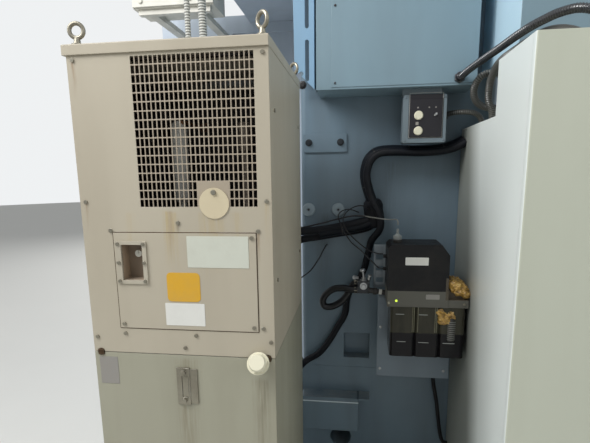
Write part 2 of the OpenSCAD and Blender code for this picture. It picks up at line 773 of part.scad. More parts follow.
// Four eyebolts screwed into the lid's corners
module eyebolts() {
  inset = [24, 20];
  top = chiller_top + lid_h;
  ring = (eye_r - eye_t / 2);
  color("silver") for (sx = [0, 1], sy = [0, 1]) {
    x = sx == 0 ? chiller_left + inset[0] : chiller_right - inset[0] + 6;
    y = sy == 0 ? chiller_front + inset[1] : chiller_back - inset[1];
    translate([x, y, top]) rotate(sx == 0 ? 12 : -38) {
      cylinder(r = 15, h = 5);
      translate([0, 0, 4]) cylinder(r1 = 10, r2 = 7, h = 16);
      translate([0, 0, 19 + eye_r - 4]) rotate([90, 0, 0]) rotate_extrude()
        translate([ring, 0]) circle(r = eye_t / 2, $fn = 24);
    }
  }
}

front_screws = [[-897, 1694], [-390, 1692], [-897, 1325], [-388, 1325], [-900, 934], [-385, 936],
  [-831, 1246], [-413, 1246], [-634, 1268], [-600, 948], [-634, 910], [-812, 948], [-405, 975]];
access_inset = 12;

// The pan-head screws of the panels and the two corner bolts
module panel_screws() {
  panel_y = chiller_front - sheet;
  frame_y = panel_y - sheet - 2;
  color("gray") {
    for (p = front_screws) rod_y(p[0], p[1], chiller_front - 3, screw_head_r, 3);
    for (x = [access[0] + access_inset, access[2] - access_inset], z = [access[1] + access_inset])
      rod_y(x, z, panel_y - 3, screw_head_r, 3);
    rod_y(access[2] - access_inset, access[3] - access_inset, panel_y - 3, screw_head_r, 3);
    for (x = [window[0] + 8, window[2] - 8], z = [window[1] + 8, (window[1] + window[3]) / 2, window[3] - 8])
      rod_y(x, z, frame_y - 3, 5, 3);
    rod_y(disc_pivot[0], disc_pivot[1], chiller_front - sheet - 4, 7, 3.4);
    rod_y(disc_pivot[0], disc_pivot[1], chiller_front - sheet - 1, 3, sheet + 1);
    for (x = [chiller_left + 21, chiller_right - 21]) rod_y(x, tank_top, chiller_front + 4, 7, 8);
    for (z = [1560, 1100], y = [chiller_front + 60, chiller_back - 60]) translate([chiller_right, y, z])
      rotate([0, 90, 0]) cylinder(r = screw_head_r, h = 3);
  }
}

// The hexagonal oil filler cap, its plug in the neck
module oil_filler_cap() {
  color("ivory") on_filler() {
    translate([0, 0, neck_l - 14]) cylinder(r = 12 - turn_gap, h = 15);
    translate([0, 0, neck_l + turn_gap]) cylinder(r = cap_r + 6, h = 7.5);
    translate([0, 0, neck_l + 7]) rotate(12) cylinder(r = cap_r + 3, h = 10.5, $fn = 6);
    translate([0, 0, neck_l + 17]) cylinder(r1 = cap_r, r2 = cap_r - 4, h = cap_tip - neck_l - 17);
  }
}

// The oil sight gauge: dark clamp, glass strip and two bolts
module oil_sight_gauge() {
  g = [-664, 736, -603, 850];
  color("dimgray") face_plate(chiller_front - 5, 5) difference() {
    edges([g[0], g[1], g[2] - 22, g[3]]);
    translate([g[0] + 15, g[1] + 24]) square([20, 66]);
  }
  color("wheat") block([g[2] - 22, g[2]], [chiller_front - 3, chiller_front], [g[1] + 4, g[3] - 4]);
  color("silver") for (z = [g[1] + 14, g[3] - 14]) rod_y(g[0] + 20, z, chiller_front - 12, 8, 7);
  color("khaki") block([g[0] + 16, g[0] + 34], [chiller_front - 4, chiller_front], [g[1] + 25, g[1] + 89]);
}

// The blue relay box with its raised screwed cover
module relay_box() {
  y0 = wall_y - relay_d;
  color("steelblue") {
    block([relay[0], relay[2]], [y0 + 2, wall_y], [relay[1], relay[3]]);
    block([relay[0] + 58, relay[2] - 1], [y0, y0 + 2], [relay[1] + 8, relay[3] - 8]);
    for (z = [relay[1] + 24, relay[3] - 24]) rod_y(relay[0] + 72, z, y0 - 2, 5, 3);
    side_plate(relay[0] - 20, 26) polygon([[wall_y - 6, relay[1] + 30], [wall_y - 6, relay[1] + 60],
      [wall_y, relay[1] + 60], [wall_y, relay[1] + 30]]);
  }
}

plate_y = wall_y - 54;
plate_t = 6;

// The slotted mounting plate beside the relay box, folded back to the column
module slotted_bracket() {
  left = relay[0] - 112;
  right = relay[0] - 21;
  color("skyblue") {
    face_plate(plate_y, plate_t) difference() {
      polygon([[left, relay[3] - 10], [left + 8, relay[1] + 112], [right, relay[1] + 28], [right, relay[3]
        - 10]]);
      for (z = [relay[1] + 62, relay[1] + 268, relay[1] + 474]) translate([right - 38, z])
        round_rect([16, 162], 7.9);
      translate([left + 36, relay[1] + 92]) circle(9);
    }
    block([right - plate_t, right], [plate_y + plate_t, wall_y], [relay[1] + 40, relay[3] - 10]);
  }
}

switch_y = wall_y - switch_reach;

// The small switch box that hangs from the relay box on its neck, with a black face plate
module switch_box() {
  color("steelblue") {
    difference() {
      translate([switchbox[0], switch_y + switch_d, switchbox[1]]) rotate([90, 0, 0]) linear_extrude(switch_d)
        round_rect([switchbox[2] - switchbox[0], switchbox[3] - switchbox[1]], 8);
      for (z = button_z) rod_y(button_x, z, switch_y - 1, button_r + turn_gap, 25);
      rod_y(toggle_at[0], toggle_at[1], switch_y - 1, 6, 25);
    }
    block([switchbox[0] - 3, switchbox[2] - 18], [switch_y + 12, switch_y + 52], [switchbox[3] - 1,
      relay[1]]);
  }
  color("black") face_plate(switch_y - 3, 3) difference() {
    edges([switchbox[0] + 28, switchbox[1] + 21, switchbox[2] - 16, switchbox[3] - 17]);
    for (z = button_z) translate([button_x, z]) circle(button_r + turn_gap);
    translate(toggle_at) circle(6);
  }
  color("silver") for (x = [switchbox[0] + 9, switchbox[2] - 9], z = [switchbox[1] + 10, switchbox[3] - 10])
    rod_y(x, z, switch_y - 2, 4, 2);
}

button_x = 76;
button_z = [1550, 1608];
toggle_at = [140, 1610];

// A round push button with a flat dished head and a stem
module push_button(z) {
  color("white") translate([button_x, switch_y + 14, z]) rotate([90, 0, 0]) {
    cylinder(r = button_r, h = 14 + 3 + button_travel);
    translate([0, 0, 17 + button_travel]) cylinder(r1 = button_r, r2 = button_r - 3, h = 3);
  }
}

module upper_push_button() { push_button(button_z[1]); }

module lower_push_button() { push_button(button_z[0]); }

// The toggle lever: a ball pivot in the box and a slim bat
module toggle_lever() {
  color("silver") translate([toggle_at[0], switch_y + 6, toggle_at[1]]) {
    sphere(r = 5.5);
    rotate([90, 0, 0]) cylinder(r1 = 2.4, r2 = 3.6, h = 26);
  }
}

plate_front = wall_y - bracket_reach;

// The bracket that carries the lubricator, folded back to the wall, with a fitting block at its side
module lubricator_bracket() {
  color("slategray") {
    face_plate(plate_front, 5) edges(bracket);
    for (x = [bracket[0] + 60, bracket[2] - 5]) block([x, x + 5], [plate_front + 4, wall_y],
      [bracket[1] + 30, bracket[3] - 60]);
    block([bracket[0] + 4, bracket[0] + 28], [plate_front - 6, plate_front + 1], [bracket[3] - 60,
      bracket[3] - 30]);
  }
  color("dimgray") {
    block([bracket[0] - 86, bracket[0] - 36], [plate_front - 4, plate_front + 46], [lube_seam + 8,
      lube_seam + 60]);
    block([bracket[0] - 37, bracket[0] + 1], [plate_front, plate_front + 5], [bracket[3] - 16, bracket[3]]);
  }
}

lube_y = plate_front - lube_d;

// The smoky oil tank of the lubricator with its three bulging chambers
module lubricator_tank() {
  left = lube_left + 14;
  w = lube_tank_w / 3;
  color("darkolivegreen") translate([0, 0, lube_seam - lube_tank_h]) difference() {
    linear_extrude(lube_tank_h - 0.3) union() {
      for (i = [0 : 2]) translate([left + i * w, lube_y + 4]) round_rect([w - (i < 2 ? -2 : 0),
        lube_d - 14], 14);
      translate([left + 8, lube_y + 20]) square([lube_tank_w - 16, lube_d - 46]);
    }
    translate([0, 0, 4]) linear_extrude(lube_tank_h) translate([left + 6, lube_y + 24])
      square([lube_tank_w - 12, lube_d - 54]);
  }
}

cover_slope = [[0, 0], [lube_cover_w, 0], [lube_cover_w, lube_cover_h - 40], [lube_cover_w - 30,
  lube_cover_h],
  [12, lube_cover_h], [0, lube_cover_h - 14]];

// The pump head: grey flange, sloped black cover, connectors and the filler neck
module lubricator_pump_head() {
  y1 = plate_front - 0.3;
  z1 = lube_seam + lube_flange_h;
  color("gray") {
    block([lube_left + 1, lube_left + lube_cover_w + 1], [lube_y, y1], [lube_seam, z1]);
    block([lube_left + lube_cover_w, lube_left + lube_flange_w], [lube_y + 2, y1], [lube_seam,
      lube_seam + 31]);
  }
  color("black") {
    translate([lube_left, y1 - 10, z1]) rotate([90, 0, 0]) linear_extrude(y1 - 10 - lube_y - 2)
      polygon(cover_slope);
    translate([fill_at[0], fill_at[1], z1 + lube_cover_h - 1]) cylinder(r = 13, h = 12);
    for (z = [1015, 1066]) translate([lube_left - 13, lube_y + 90, z]) rotate([0, 90, 0]) cylinder(r = 7,
      h = 14);
  }
  color("orange") for (y = [lube_y + 22, lube_y + 70]) block([lube_left + lube_cover_w + 4,
    lube_left + lube_flange_w - 8], [y, y + 34], [lube_seam + 30, lube_seam + 31 + 36]);
}

fill_at = [2, lube_y + 70];

// The clear level switch plug on the pump's cover
module level_switch() {
  z = lube_seam + lube_flange_h + lube_cover_h + 11.3;
  color("gainsboro") translate([fill_at[0], fill_at[1], z]) {
    cylinder(r = 16, h = 14);
    translate([0, 0, 13]) cylinder(r1 = 13, r2 = 7, h = 8);
    translate([0, 0, 20]) cylinder(r = 5, h = 20);
  }
}

// A point on a smooth curve through four points
function curve(a, b, c, d, t) = 0.5 * ((2 * b) + (c - a) * t + (2 * a - 5 * b + 4 * c - d) * t * t
  + (3 * b - a - 3 * c + d) * t * t * t);

// The smooth route through a list of chosen points, n steps a span
function route(p, n) = let (m = len(p) - 1) concat([for (i = [0 : m - 1], k = [0 : n - 1])
  curve(p[max(i - 1, 0)], p[i], p[i + 1], p[min(i + 2, m)], k / n)], [p[m]]);

function unit(v) = v / norm(v);

// The axis that a direction follows most, which squares a hose's end to the wall it meets
function nearest_axis(v) = let (a = [for (c = v) abs(c)]) [for (k = [0 : 2]) a[k] == max(a) ? sign(v[k]) : 0];

// A side direction carried along the route without twist
function carried(dir, u, i = 0) = let (v = unit(u - (u * dir[i]) * dir[i]))
  i == len(dir) - 1 ? [v] : concat([v], carried(dir, v, i + 1));

// A hose of radius r along a route
module hose(points, r, n = 2, sides = 8) {
  p = route(points, n);
  m = len(p) - 1;
  dir = [for (i = [0 : m]) let (d = p[min(i + 1, m)] - p[max(i - 1, 0)]) i % m == 0 ? nearest_axis(d) :
    unit(d)];
  side = carried(dir, [1, 2, 3]);
  rings = [for (i = [0 : m]) let (u = side[i], v = cross(dir[i], u))
    for (k = [0 : sides - 1]) p[i] + r * (cos(k * 360 / sides) * u + sin(k * 360 / sides) * v)];
  ends = [[for (k = [0 : sides - 1]) k], [for (k = [sides - 1 : -1 : 0]) m * sides + k]];
  skin = [for (i = [0 : m - 1], k = [0 : sides - 1]) let (a = i * sides + k, b = i * sides + (k + 1) % sides)
    each [[a, b + sides, b], [a, a + sides, b + sides]]];
  polyhedron(rings, concat(ends, skin));
}

lube_wall = bracket_reach + lube_d;

// Routes of the hoses on the column's rear wall: x, distance off the wall, z
function off_wall(list) = [for (p = list) [p[0], wall_y - p[1], p[2]]];
bend_up = [[-94, 1268], [-109, 1310], [-123, 1363], [-124, 1406], [-109, 1450], [-74, 1478], [-13, 1484],
  [91, 1480], [180, 1484], [226, 1496]];
oil_supply = concat([[-455, service_gap, 1085], [-452, 160, 1088], [-405, 44, 1100], [-317, 27, 1114],
  [-225, 27, 1130], [-150, 27, 1143], [-98, 27, 1160], [-78, 27, 1200]],
  [for (b = bend_up) [b[0], 27, b[1]]], [[cabinet_left, 27, 1512]]);
oil_return = concat([[-455, service_gap, 1150], [-452, 180, 1150], [-405, 82, 1142], [-317, 68, 1148],
  [-225, 68, 1164], [-150, 68, 1180], [-104, 68, 1196], [-84, 68, 1225]],
  [for (b = bend_up) [b[0] + 4, 68, b[1] - 2]], [[cabinet_left, 68, 1518]]);
pump_hose = concat([[-450, service_gap, 470], [-440, 140, 478], [-395, 34, 511], [-325, 30, 559], [-277,
  30, 623],
  [-240, 30, 690], [-205, 30, 756], [-198, 30, 820], [-180, 30, 872], [-145, 30, 915], [-118, 30, 980],
  [-104, 40, 1045], [-92, 62, 1100], [-58, 108, 1160], [-62, 112, 1215], [-88, 110, 1270]],
  [for (b = bend_up) if (b[1] > 1300) [b[0] + 8, 104, b[1] - 8]], [[cabinet_left, 104, 1508]]);

// The strapped bundle: two oil hoses and the lubrication hose
module hose_bundle() {
  color("black") {
    hose(off_wall(oil_supply), 17);
    hose(off_wall(oil_return), 17);
    hose(off_wall(pump_hose), 13);
  }
}

loop_hose = [[-150, 156, 903], [-182, 152, 904], [-211, 146, 907], [-252, 140, 900], [-287, 134, 872],
  [-300, 130, 840], [-287, 128, 817], [-250, 128, 822], [-210, 130, 851], [-184, 132, 890], [-170, 134, 918],
  [-150, 134, 928]];
thin_loop = [[-150, 0, 1222], [-150, 60, 1224], [-152, 98, 1228], [-172, 108, 1237], [-197, 110, 1241],
  [-226, 118, 1230], [-234, 122, 1208], [-222, 124, 1177], [-208, 126, 1147], [-178, 128, 1103],
  [-135, 150, 1070], [-92, 205, 1036], [-68, lube_wall - 97, 1018], [-50, lube_wall - 95, 1015]];
cap_line = [[-470, service_gap, 1195], [-460, 180, 1190], [-400, 122, 1165], [-314, 116, 1180], [-241, 112,
  1199],
  [-170, 116, 1214], [-120, 130, 1213], [-74, 150, 1204], [-30, 190, 1206], [-4, 245, 1212], [2, 259,
    1205], [2, 259, 1192]];
drop_line = [[-288, 0, 1072], [-290, 50, 1078], [-296, 72, 1068], [-308, 70, 1045], [-326, 66, 1012],
  [-360, 64, 963], [-402, 70, 930], [-440, 150, 905], [-450, service_gap, 900]];
power_cord = [[186, bracket_reach - 5, 640], [186, 140, 628], [188, 105, 580], [190, 84, 480], [215, 60, 350],
  [234, 50, 220], [cabinet_left - 22, 48, 158], [cabinet_left, 48, 150]];

// Thin lines and the black loop between the bundle, the lubricator and the chiller
module lubrication_lines() {
  color("black") {
    hose(off_wall(loop_hose), 11);
    hose(off_wall(thin_loop), 3, sides = 6);
    hose(off_wall(drop_line), 3, sides = 6);
    hose(off_wall(power_cord), 8);
  }
  color("white") hose(off_wall(cap_line), 3, sides = 6);
}

top_run = [[215, 200, 1734], [222, 232, 1740], [236, 268, 1751], [268, 338, 1770], [295, 408, 1784],
  [318, 478, 1797], [340, 538, 1807], [365, 578, 1815], [389, 618, 1819], [425, 660, 1815], [470, 690, 1790],
  [505, 700, 1755], [510, 700, cabinet_h]];
upper_loop = [[338, 214, cabinet_low], [334, 214, 1610], [318, 222, 1650], [310, 258, 1702], [309, 318, 1738],
  [311, 378, 1752], [318, 440, 1758], [352, 508, 1777], [380, 548, 1789], [410, 600, 1780], [440, 640, 1755],
  [446, 644, cabinet_h]];
lower_loop = [[410, 150, cabinet_low], [402, 150, 1600], [365, 150, 1628], [320, 156, 1634], [284, 176, 1655],
  [268, 205, 1690], [276, 235, 1722],
  [300, 246, 1738], [340, 246, 1738], [370, 243, 1748], [374, 242, service[1]]];
pale_hose = [[198, 0, 1618], [199, 60, 1619], [208, 100, 1620], [240, 120, 1622], [290, 118, 1618],
  [322, 100, 1600], [330, 98, cabinet_low]];

// Conduits that cross the cabinet's corner and loop down behind it
module cabinet_conduits() {
  color("black") {
    hose(off_wall(top_run), 13);
    hose(off_wall(upper_loop), 13);
    hose(off_wall(lower_loop), 13);
  }
  color("silver") hose(off_wall(pale_hose), 9);
}

junction = [-half_w + 55, 2149, -half_w + 440, 2430];
junction_y = wall_y + 102;
small_conduit = [[-835, service_gap, 1500], [-835, 190, 1508], [-835, 170, 1560], [-835, 168, 1700],
  [-835, 168, 2150], [-840, 160, 2240], [junction[0] + 310, 60, 2286], [junction[0] + 270,
    wall_y - junction_y, 2290]];
large_conduit = [[-773, service_gap, 1450], [-773, 192, 1460], [-773, 170, 1530], [-773, 168, 1700],
  [-773, 168, 2150], [-778, 160, 2232], [junction[0] + 375, 60, 2272], [junction[0] + 333,
    wall_y - junction_y, 2280]];

// Two pale conduits that rise behind the chiller to the junction box
module rear_conduits() {
  color("gainsboro") {
    hose(off_wall(small_conduit), 12);
    hose(off_wall(large_conduit), 16.5);
  }
}

// The white junction box above the guards, on its rail
module junction_box() {
  color("white") {
    difference() {
      block([junction[0], junction[2]], [junction_y, junction_y + 190], [junction[1], junction[3]]);
      block([junction[0] - 1, junction[2] + 1], [junction_y - 1, junction_y + 8], [junction[1] - 1,
        junction[1] + 5]);
    }
    for (x = [junction[0] + 40, junction[2] - 110]) rod_y(x, junction[1] + 30, junction_y - 6, 10, 7);
  }
  color("dimgray") {
    block([junction[0] + 20, junction[2] - 20], [junction_y + 20, junction_y + 50], [junction[1] - 24,
      junction[1]]);
    for (x = [junction[0] + 60, junction[2] - 100]) block([x, x + 40], [junction_y + 49, guard_back],
      [junction[1] - 24, junction[1]]);
  }
}

// The cabinet's side outline in Y and Z, drawn in by a wall thickness
module cabinet_outline(t) {
  y0 = cabinet_front + door_t + slide_gap;
  y1 = y0 + cabinet_d;
  ym = y0 + cabinet_high_d;
  polygon([[y0 - (t > 0 ? 1 : 0), plinth_h + t], [y1 - t, plinth_h + t], [y1 - t, cabinet_low - t],
    [ym - t, cabinet_low - t], [ym - t, cabinet_h - t], [y0 - (t > 0 ? 1 : 0), cabinet_h - t]]);
}

// The cream electrical cabinet: an open-fronted shell with a lowered rear, on its plinth
module electrical_cabinet() {
  w = half_w - cabinet_left;
  y0 = cabinet_front + door_t + slide_gap;
  color("beige") {
    difference() {
      side_plate(cabinet_left, w) cabinet_outline(0);
      side_plate(cabinet_left + cabinet_t, w - 2 * cabinet_t) cabinet_outline(cabinet_t);
    }
    block([cabinet_left + 20, half_w - 20], [y0 + 20, y0 + cabinet_d - 20], [0, plinth_h]);
  }
}

// The full-height cabinet door with rolled edges, hinged on its left
module cabinet_door() {
  w = half_w - cabinet_left;
  color("beige") difference() {
    translate([cabinet_left, cabinet_front, plinth_h]) linear_extrude(cabinet_h - plinth_h) union() {
      translate([5, 0]) square([w - 10, door_t]);
      translate([0, 5]) square([w, door_t - 5]);
      for (x = [5, w - 5]) translate([x, 5]) circle(5);
    }
    block([cabinet_left + 20, half_w - 20], [cabinet_front + 3, cabinet_front + door_t + 1],
      [plinth_h + 20, cabinet_h - 20]);
    rod_y(switch_at[0], switch_at[1], cabinet_front - 1, 12, 6);
  }
}

switch_at = [half_w - 130, 1180];

// The rotary main switch on the door
module main_switch_handle() {
  color("firebrick") translate([switch_at[0], cabinet_front - slide_gap, switch_at[1]]) rotate([90, 0, 0]) {
    cylinder(r = 34, h = 8);
    translate([-11, -30, 7]) linear_extrude(22) round_rect([22, 60], 8);
  }
  color("black") rod_y(switch_at[0], switch_at[1], cabinet_front - 1, 11, 30);
}

// The mounting plate in the cabinet with drives, contactors, terminals and cable ducts
module cabinet_components() {
  back = cabinet_front + door_t + slide_gap + cabinet_d - cabinet_t;
  x0 = cabinet_left + 50;
  w = half_w - cabinet_left - 100;
  front = back - 12;
  color("gainsboro") block([x0, x0 + w], [front, back], [plinth_h + 60, cabinet_low - 60]);
  color("dimgray") {
    for (i = [0 : 3]) translate([x0 + 60 + i * 150, front + 1, 1060]) rotate([90, 0, 0]) linear_extrude(221)
      round_rect([110, 380], 6);
    block([x0 + 680, x0 + w - 50], [front - 180, front + 1], [1060, 1440]);
    block([x0 + 60, x0 + 300], [front - 140, front + 1], [200, 360]);
  }
  color("lightgray") {
    for (z = [960, 700, 440]) block([x0 + 40, x0 + w - 40], [front - 60, front + 1], [z, z + 60]);
    for (i = [0 : 9]) block([x0 + 70 + i * 72, x0 + 124 + i * 72], [front - 85, front + 1], [810, 900]);
    for (i = [0 : 7]) block([x0 + 70 + i * 90, x0 + 140 + i * 90], [front - 100, front + 1], [555, 640]);
  }
  color("seagreen") block([x0 + 360, x0 + w - 60], [front - 50, front + 1], [220, 300]);
}

// The blue box above the cabinet, bolted to the column
module service_box() {
  color("steelblue") side_plate(service[0], service[2] - service[0]) polygon([[wall_y, service[1]],
    [wall_y - service_d + 14, service[1]], [wall_y - service_d, service[1] + 14],
    [wall_y - service_d, service[3]], [wall_y, service[3]]]);
}

frame_x = [head_w / 2 + 152, head_w / 2 + 182];
arm_z = nose_z - 56;
arm_guide = 150;
change_x = arm_x - 5;

// The magazine's carrier: a plate bolted to the column, the hub pin and the arm's cam box
module magazine_frame() {
  color("dimgray") {
    difference() {
      union() {
        side_plate(frame_x[0], frame_x[1] - frame_x[0]) polygon([[column_front, magazine_z - 260],
          [spindle_y - 180, magazine_z - 330], [spindle_y + 90, magazine_z - 330], [spindle_y + 90,
            magazine_z + 60],
          [spindle_y - 60, magazine_z + 110], [column_front, magazine_z + 200]]);
        block([column_w / 2 - 96, frame_x[1]], [column_front, column_front + 26],
          [magazine_z - 260, magazine_z + 200]);
        translate([arm_x - 48, spindle_y - 90, nose_z + 90]) cube([frame_x[0] - arm_x + 49, 180, 300]);
        translate([change_x, spindle_y, nose_z + 60]) cylinder(r = 43, h = 40);
      }
      translate([change_x, spindle_y, nose_z - 10]) cylinder(r = 28 + turn_gap, h = 380);
    }
    translate([frame_x[1] - 1, spindle_y, magazine_z]) rotate([0, 90, 0]) cylinder(r = 40, h = 61);
    translate([change_x, spindle_y + 30, nose_z + 389]) cylinder(r = 45, h = 150);
  }
}

// The tool carousel: a hubbed disc with scalloped rim and a ring of pots
module tool_carousel() {
  x0 = frame_x[1] + 12;
  color("silver") translate([x0, spindle_y, magazine_z]) rotate([0, 90, 0]) difference() {
    union() {
      cylinder(r = pot_circle + 6, h = 14);
      cylinder(r = 80, h = 58);
      for (i = [0 : pot_count - 1]) rotate(i * 360 / pot_count) translate([pot_circle, 0, 0])
        rotate_extrude() polygon([[0, 0], [pot_r, 0], [pot_r, pot_l], [pot_r - 11, pot_l],
          [pot_r - 11, pot_l + 3], [pot_r - 7, pot_l + 6], [pot_r - 7, pot_l + 10], [pot_r - 11, pot_l + 13],
          [pot_r - 7, pot_l + 16], [pot_r - 7, pot_l + 20], [22, pot_l + 20], [20, pot_l + 64], [9,
            pot_l + 64],
          [9, pot_l + 104], [0, pot_l + 104]]);
    }
    for (i = [0 : 5]) rotate(i * 60 + 30) translate([210, 0, -1]) cylinder(r = 62, h = 20);
    translate([0, 0, -1]) cylinder(r = 40 + turn_gap, h = 60);
  }
}

// The arm's plunging shaft in the cam box
module arm_shaft() {
  color("silver") translate([change_x, spindle_y, arm_z + 40]) cylinder(r = 28, h = arm_stroke + arm_guide);
}

// The double-ended tool change arm with a gripping jaw at each end
module tool_change_arm() {
  color("dimgray") translate([change_x, spindle_y, arm_z]) difference() {
    union() {
      cylinder(r = 42, h = 39.7);
      translate([-26, -230, 6]) cube([52, 460, 24]);
      for (y = [-1, 1]) translate([0, y * (change_x), 6]) cylinder(r = 44, h = 24);
    }
    for (y = [-1, 1]) translate([0, y * (change_x), 0]) {
      cylinder(r = 32, h = 60);
      translate([y > 0 ? -60 : 0, -22, 0]) cube([60, 44, 60]);
    }
  }
}

// A folded guard panel in X and Z with two shallow recesses
module back_guard(x0, x1, recess) {
  color("thistle") difference() {
    block([x0, x1], [guard_back, guard_back + guard_t], [guard_foot, guard_h]);
    block([recess[0], recess[1]], [guard_back - 1, guard_back + guard_t - 4], [guard_foot + 60,
      guard_h - 90]);
    block([-bed_w / 2 - 5, bed_w / 2 + 5], [guard_back - 1, guard_back + guard_t + 1], [guard_foot - 1,
      bed_top + 5]);
  }
}

beam_end = junction[2] + 15;
beam_z = 2200;

// The rear and side guards and the blue beam over the rear ones
module guard_panels() {
  inner = column_w / 2 + 0.3;
  back_guard(-half_w + guard_edge, -inner, [-half_w + 403, -column_w / 2 - 111]);
  back_guard(inner, half_w - guard_edge, [column_w / 2 + 111, half_w - 100]);
  color("thistle") for (s = [-1, 1]) difference() {
    block([s * half_w - (s > 0 ? guard_edge : 0), s * half_w + (s > 0 ? 0 : guard_edge)], [guard_back,
      front_y0],
      [guard_foot, guard_h]);
    for (i = [0 : 2]) block([s * half_w - 8, s * half_w + 8], [guard_back + 70 + i * 510,
      guard_back + 520 + i * 510],
      [guard_foot + 80, guard_h - 80]);
  }
  color("thistle") for (x = [-half_w, half_w - 120], y = [guard_back + 60, guard_front - 220])
    block([x + 20, x + 100], [y, y + 80], [0, guard_foot]);
  color("steelblue") face_plate(guard_back - service_d, service_d - 1) polygon([[beam_end, beam_z + 90],
    [beam_end + 50, beam_z], [-inner, beam_z], [-inner, service[3]], [beam_end, service[3]]]);
}

guard_edge = 35;
front_y0 = guard_front - guard_edge;

// The front guard: a panel round the door opening, with the door's rails and the pendant's hinge lugs
module front_guard() {
  o = opening_w / 2;
  rail_x = [-o - door_lap, half_w - 10];
  color("whitesmoke") {
    face_plate(front_y0, guard_edge) difference() {
      edges([-half_w, guard_foot - 40, half_w, guard_h]);
      edges([-o, opening_z[0], o, opening_z[1]]);
    }
    for (z = [opening_z[0] - door_lap - 22, opening_z[1] + door_lap + slide_gap])
      block(rail_x, [guard_front - 1, guard_front + slide_door_t + 6], [z, z + 21.5]);
    for (x = [-half_w + 60, half_w - 160]) block([x, x + 100], [front_y0, guard_front - 2], [0,
      guard_foot - 39]);
    for (z = [pendant_z + 70, pendant_z + pendant_h - 110]) difference() {
      union() {
        block([pendant_x - 14, pendant_x + 14], [guard_front - 1, pivot_y], [z, z + 40]);
        translate([pendant_x, pivot_y, z]) cylinder(r = 14, h = 40);
      }
      translate([pendant_x, pivot_y, z - 1]) cylinder(r = 7, h = 42);
    }
  }
}

handle_z = opening_z[0] + 360;
handle_l = 340;

// The sliding door's frame with its bar handle
module front_door() {
  o = opening_w / 2 + door_lap;
  y0 = guard_front + slide_gap;
  x1 = -o + door_rim / 2;
  color("lightsteelblue") {
    difference() {
      block([-o, o], [y0, y0 + slide_door_t], [opening_z[0] - door_lap, opening_z[1] + door_lap]);
      block([-o + door_rim, o - door_rim], [y0 - 1, y0 + slide_door_t + 1],
        [opening_z[0] + door_rim, opening_z[1] - door_rim]);
      block([-o + door_rim - 12, o - door_rim + 12], [y0 + 12, y0 + 20.6],
        [opening_z[0] + door_rim - 12, opening_z[1] - door_rim + 12]);
    }
    for (z = [handle_z + 30, handle_z + handle_l - 30]) rod_y(x1, z, y0 + slide_door_t - 1, 9, 45);
    translate([x1, y0 + slide_door_t + 44, handle_z]) cylinder(r = 13, h = handle_l);
  }
}

// The door's window pane, held in the frame's groove
module door_window() {
  o = opening_w / 2 + door_lap;
  y0 = guard_front + slide_gap;
  color("lightcyan", 0.4) block([-o + door_rim - 11, o - door_rim + 11], [y0 + 12.3, y0 + 20.3],
    [opening_z[0] + door_rim - 12, opening_z[1] - door_rim + 11]);
}

pendant_x = -half_w + 46;
pendant_face = front_y - stop_reach;
pin_back = 20;
pivot_y = pendant_face - pendant_d - pin_back;
controls = [for (i = [0 : 2]) [pendant_x + pendant_w - 50 - i * 90, pendant_z + 62]];

// The control pendant: a sloped-back box with a screen recess, a key field and its hinge pins
module control_pendant() {
  x0 = pendant_x + 16;
  y0 = pivot_y + pin_back;
  color("dimgray") {
    difference() {
      union() {
        side_plate(x0, pendant_w) polygon([[y0 + 30, pendant_z], [pendant_face, pendant_z],
          [pendant_face, pendant_z + pendant_h], [y0, pendant_z + pendant_h], [y0, pendant_z + 120]]);
        for (z = [pendant_z + 70, pendant_z + pendant_h - 110]) {
          block([pendant_x - 10, x0 + 1], [pivot_y + 14.4, pivot_y + 40], [z - 20, z + 60]);
          for (s = [-20, 40.5]) block([pendant_x - 10, x0 + 1], [pivot_y - 10, pivot_y + 41], [z + s,
            z + s + 19.5]);
          translate([pendant_x, pivot_y, z - 1]) cylinder(r = 6.9, h = 42);
        }
      }
      block([x0 + 30, x0 + pendant_w - 30], [pendant_face - 6, pendant_face + 1],
        [pendant_z + 330, pendant_z + pendant_h - 30]);
      for (i = [0, 1, 2]) rod_y(controls[i][0], controls[i][1], pendant_face - 14, 8.3, 15);
    }
    for (i = [0 : 8], j = [0 : 3]) block([x0 + 36 + i * 32.5, x0 + 62 + i * 32.5], [pendant_face - 1,
      pendant_face + 3],
      [pendant_z + 150 + j * 38, pendant_z + 180 + j * 38]);
  }
}

// The mushroom-headed emergency stop
module emergency_stop() {
  color("red") translate([controls[0][0], pendant_face - 8, controls[0][1]]) rotate([-90, 0, 0]) {
    cylinder(r = 8, h = 20);
    translate([0, 0, 16]) cylinder(r1 = stop_r - 4, r2 = stop_r, h = 6);
    translate([0, 0, 22]) cylinder(r1 = stop_r, r2 = stop_r - 7, h = stop_reach - 14);
  }
}

// The cycle start button
module cycle_start_button() {
  color("limegreen") translate([controls[1][0], pendant_face - 8, controls[1][1]]) rotate([-90, 0, 0]) {
    cylinder(r = 8, h = 13);
    translate([0, 0, 12]) cylinder(r = 14, h = 7);
  }
}

// The feed override knob with its pointer rib
module override_knob() {
  color("black") translate([controls[2][0], pendant_face - 8, controls[2][1]]) rotate([-90, 0, 0]) {
    cylinder(r = 8, h = 10);
    translate([0, 0, 8.3]) cylinder(r1 = 20, r2 = 16, h = 14);
    translate([-2, 0, 21]) cube([4, 15, 3]);
  }
}

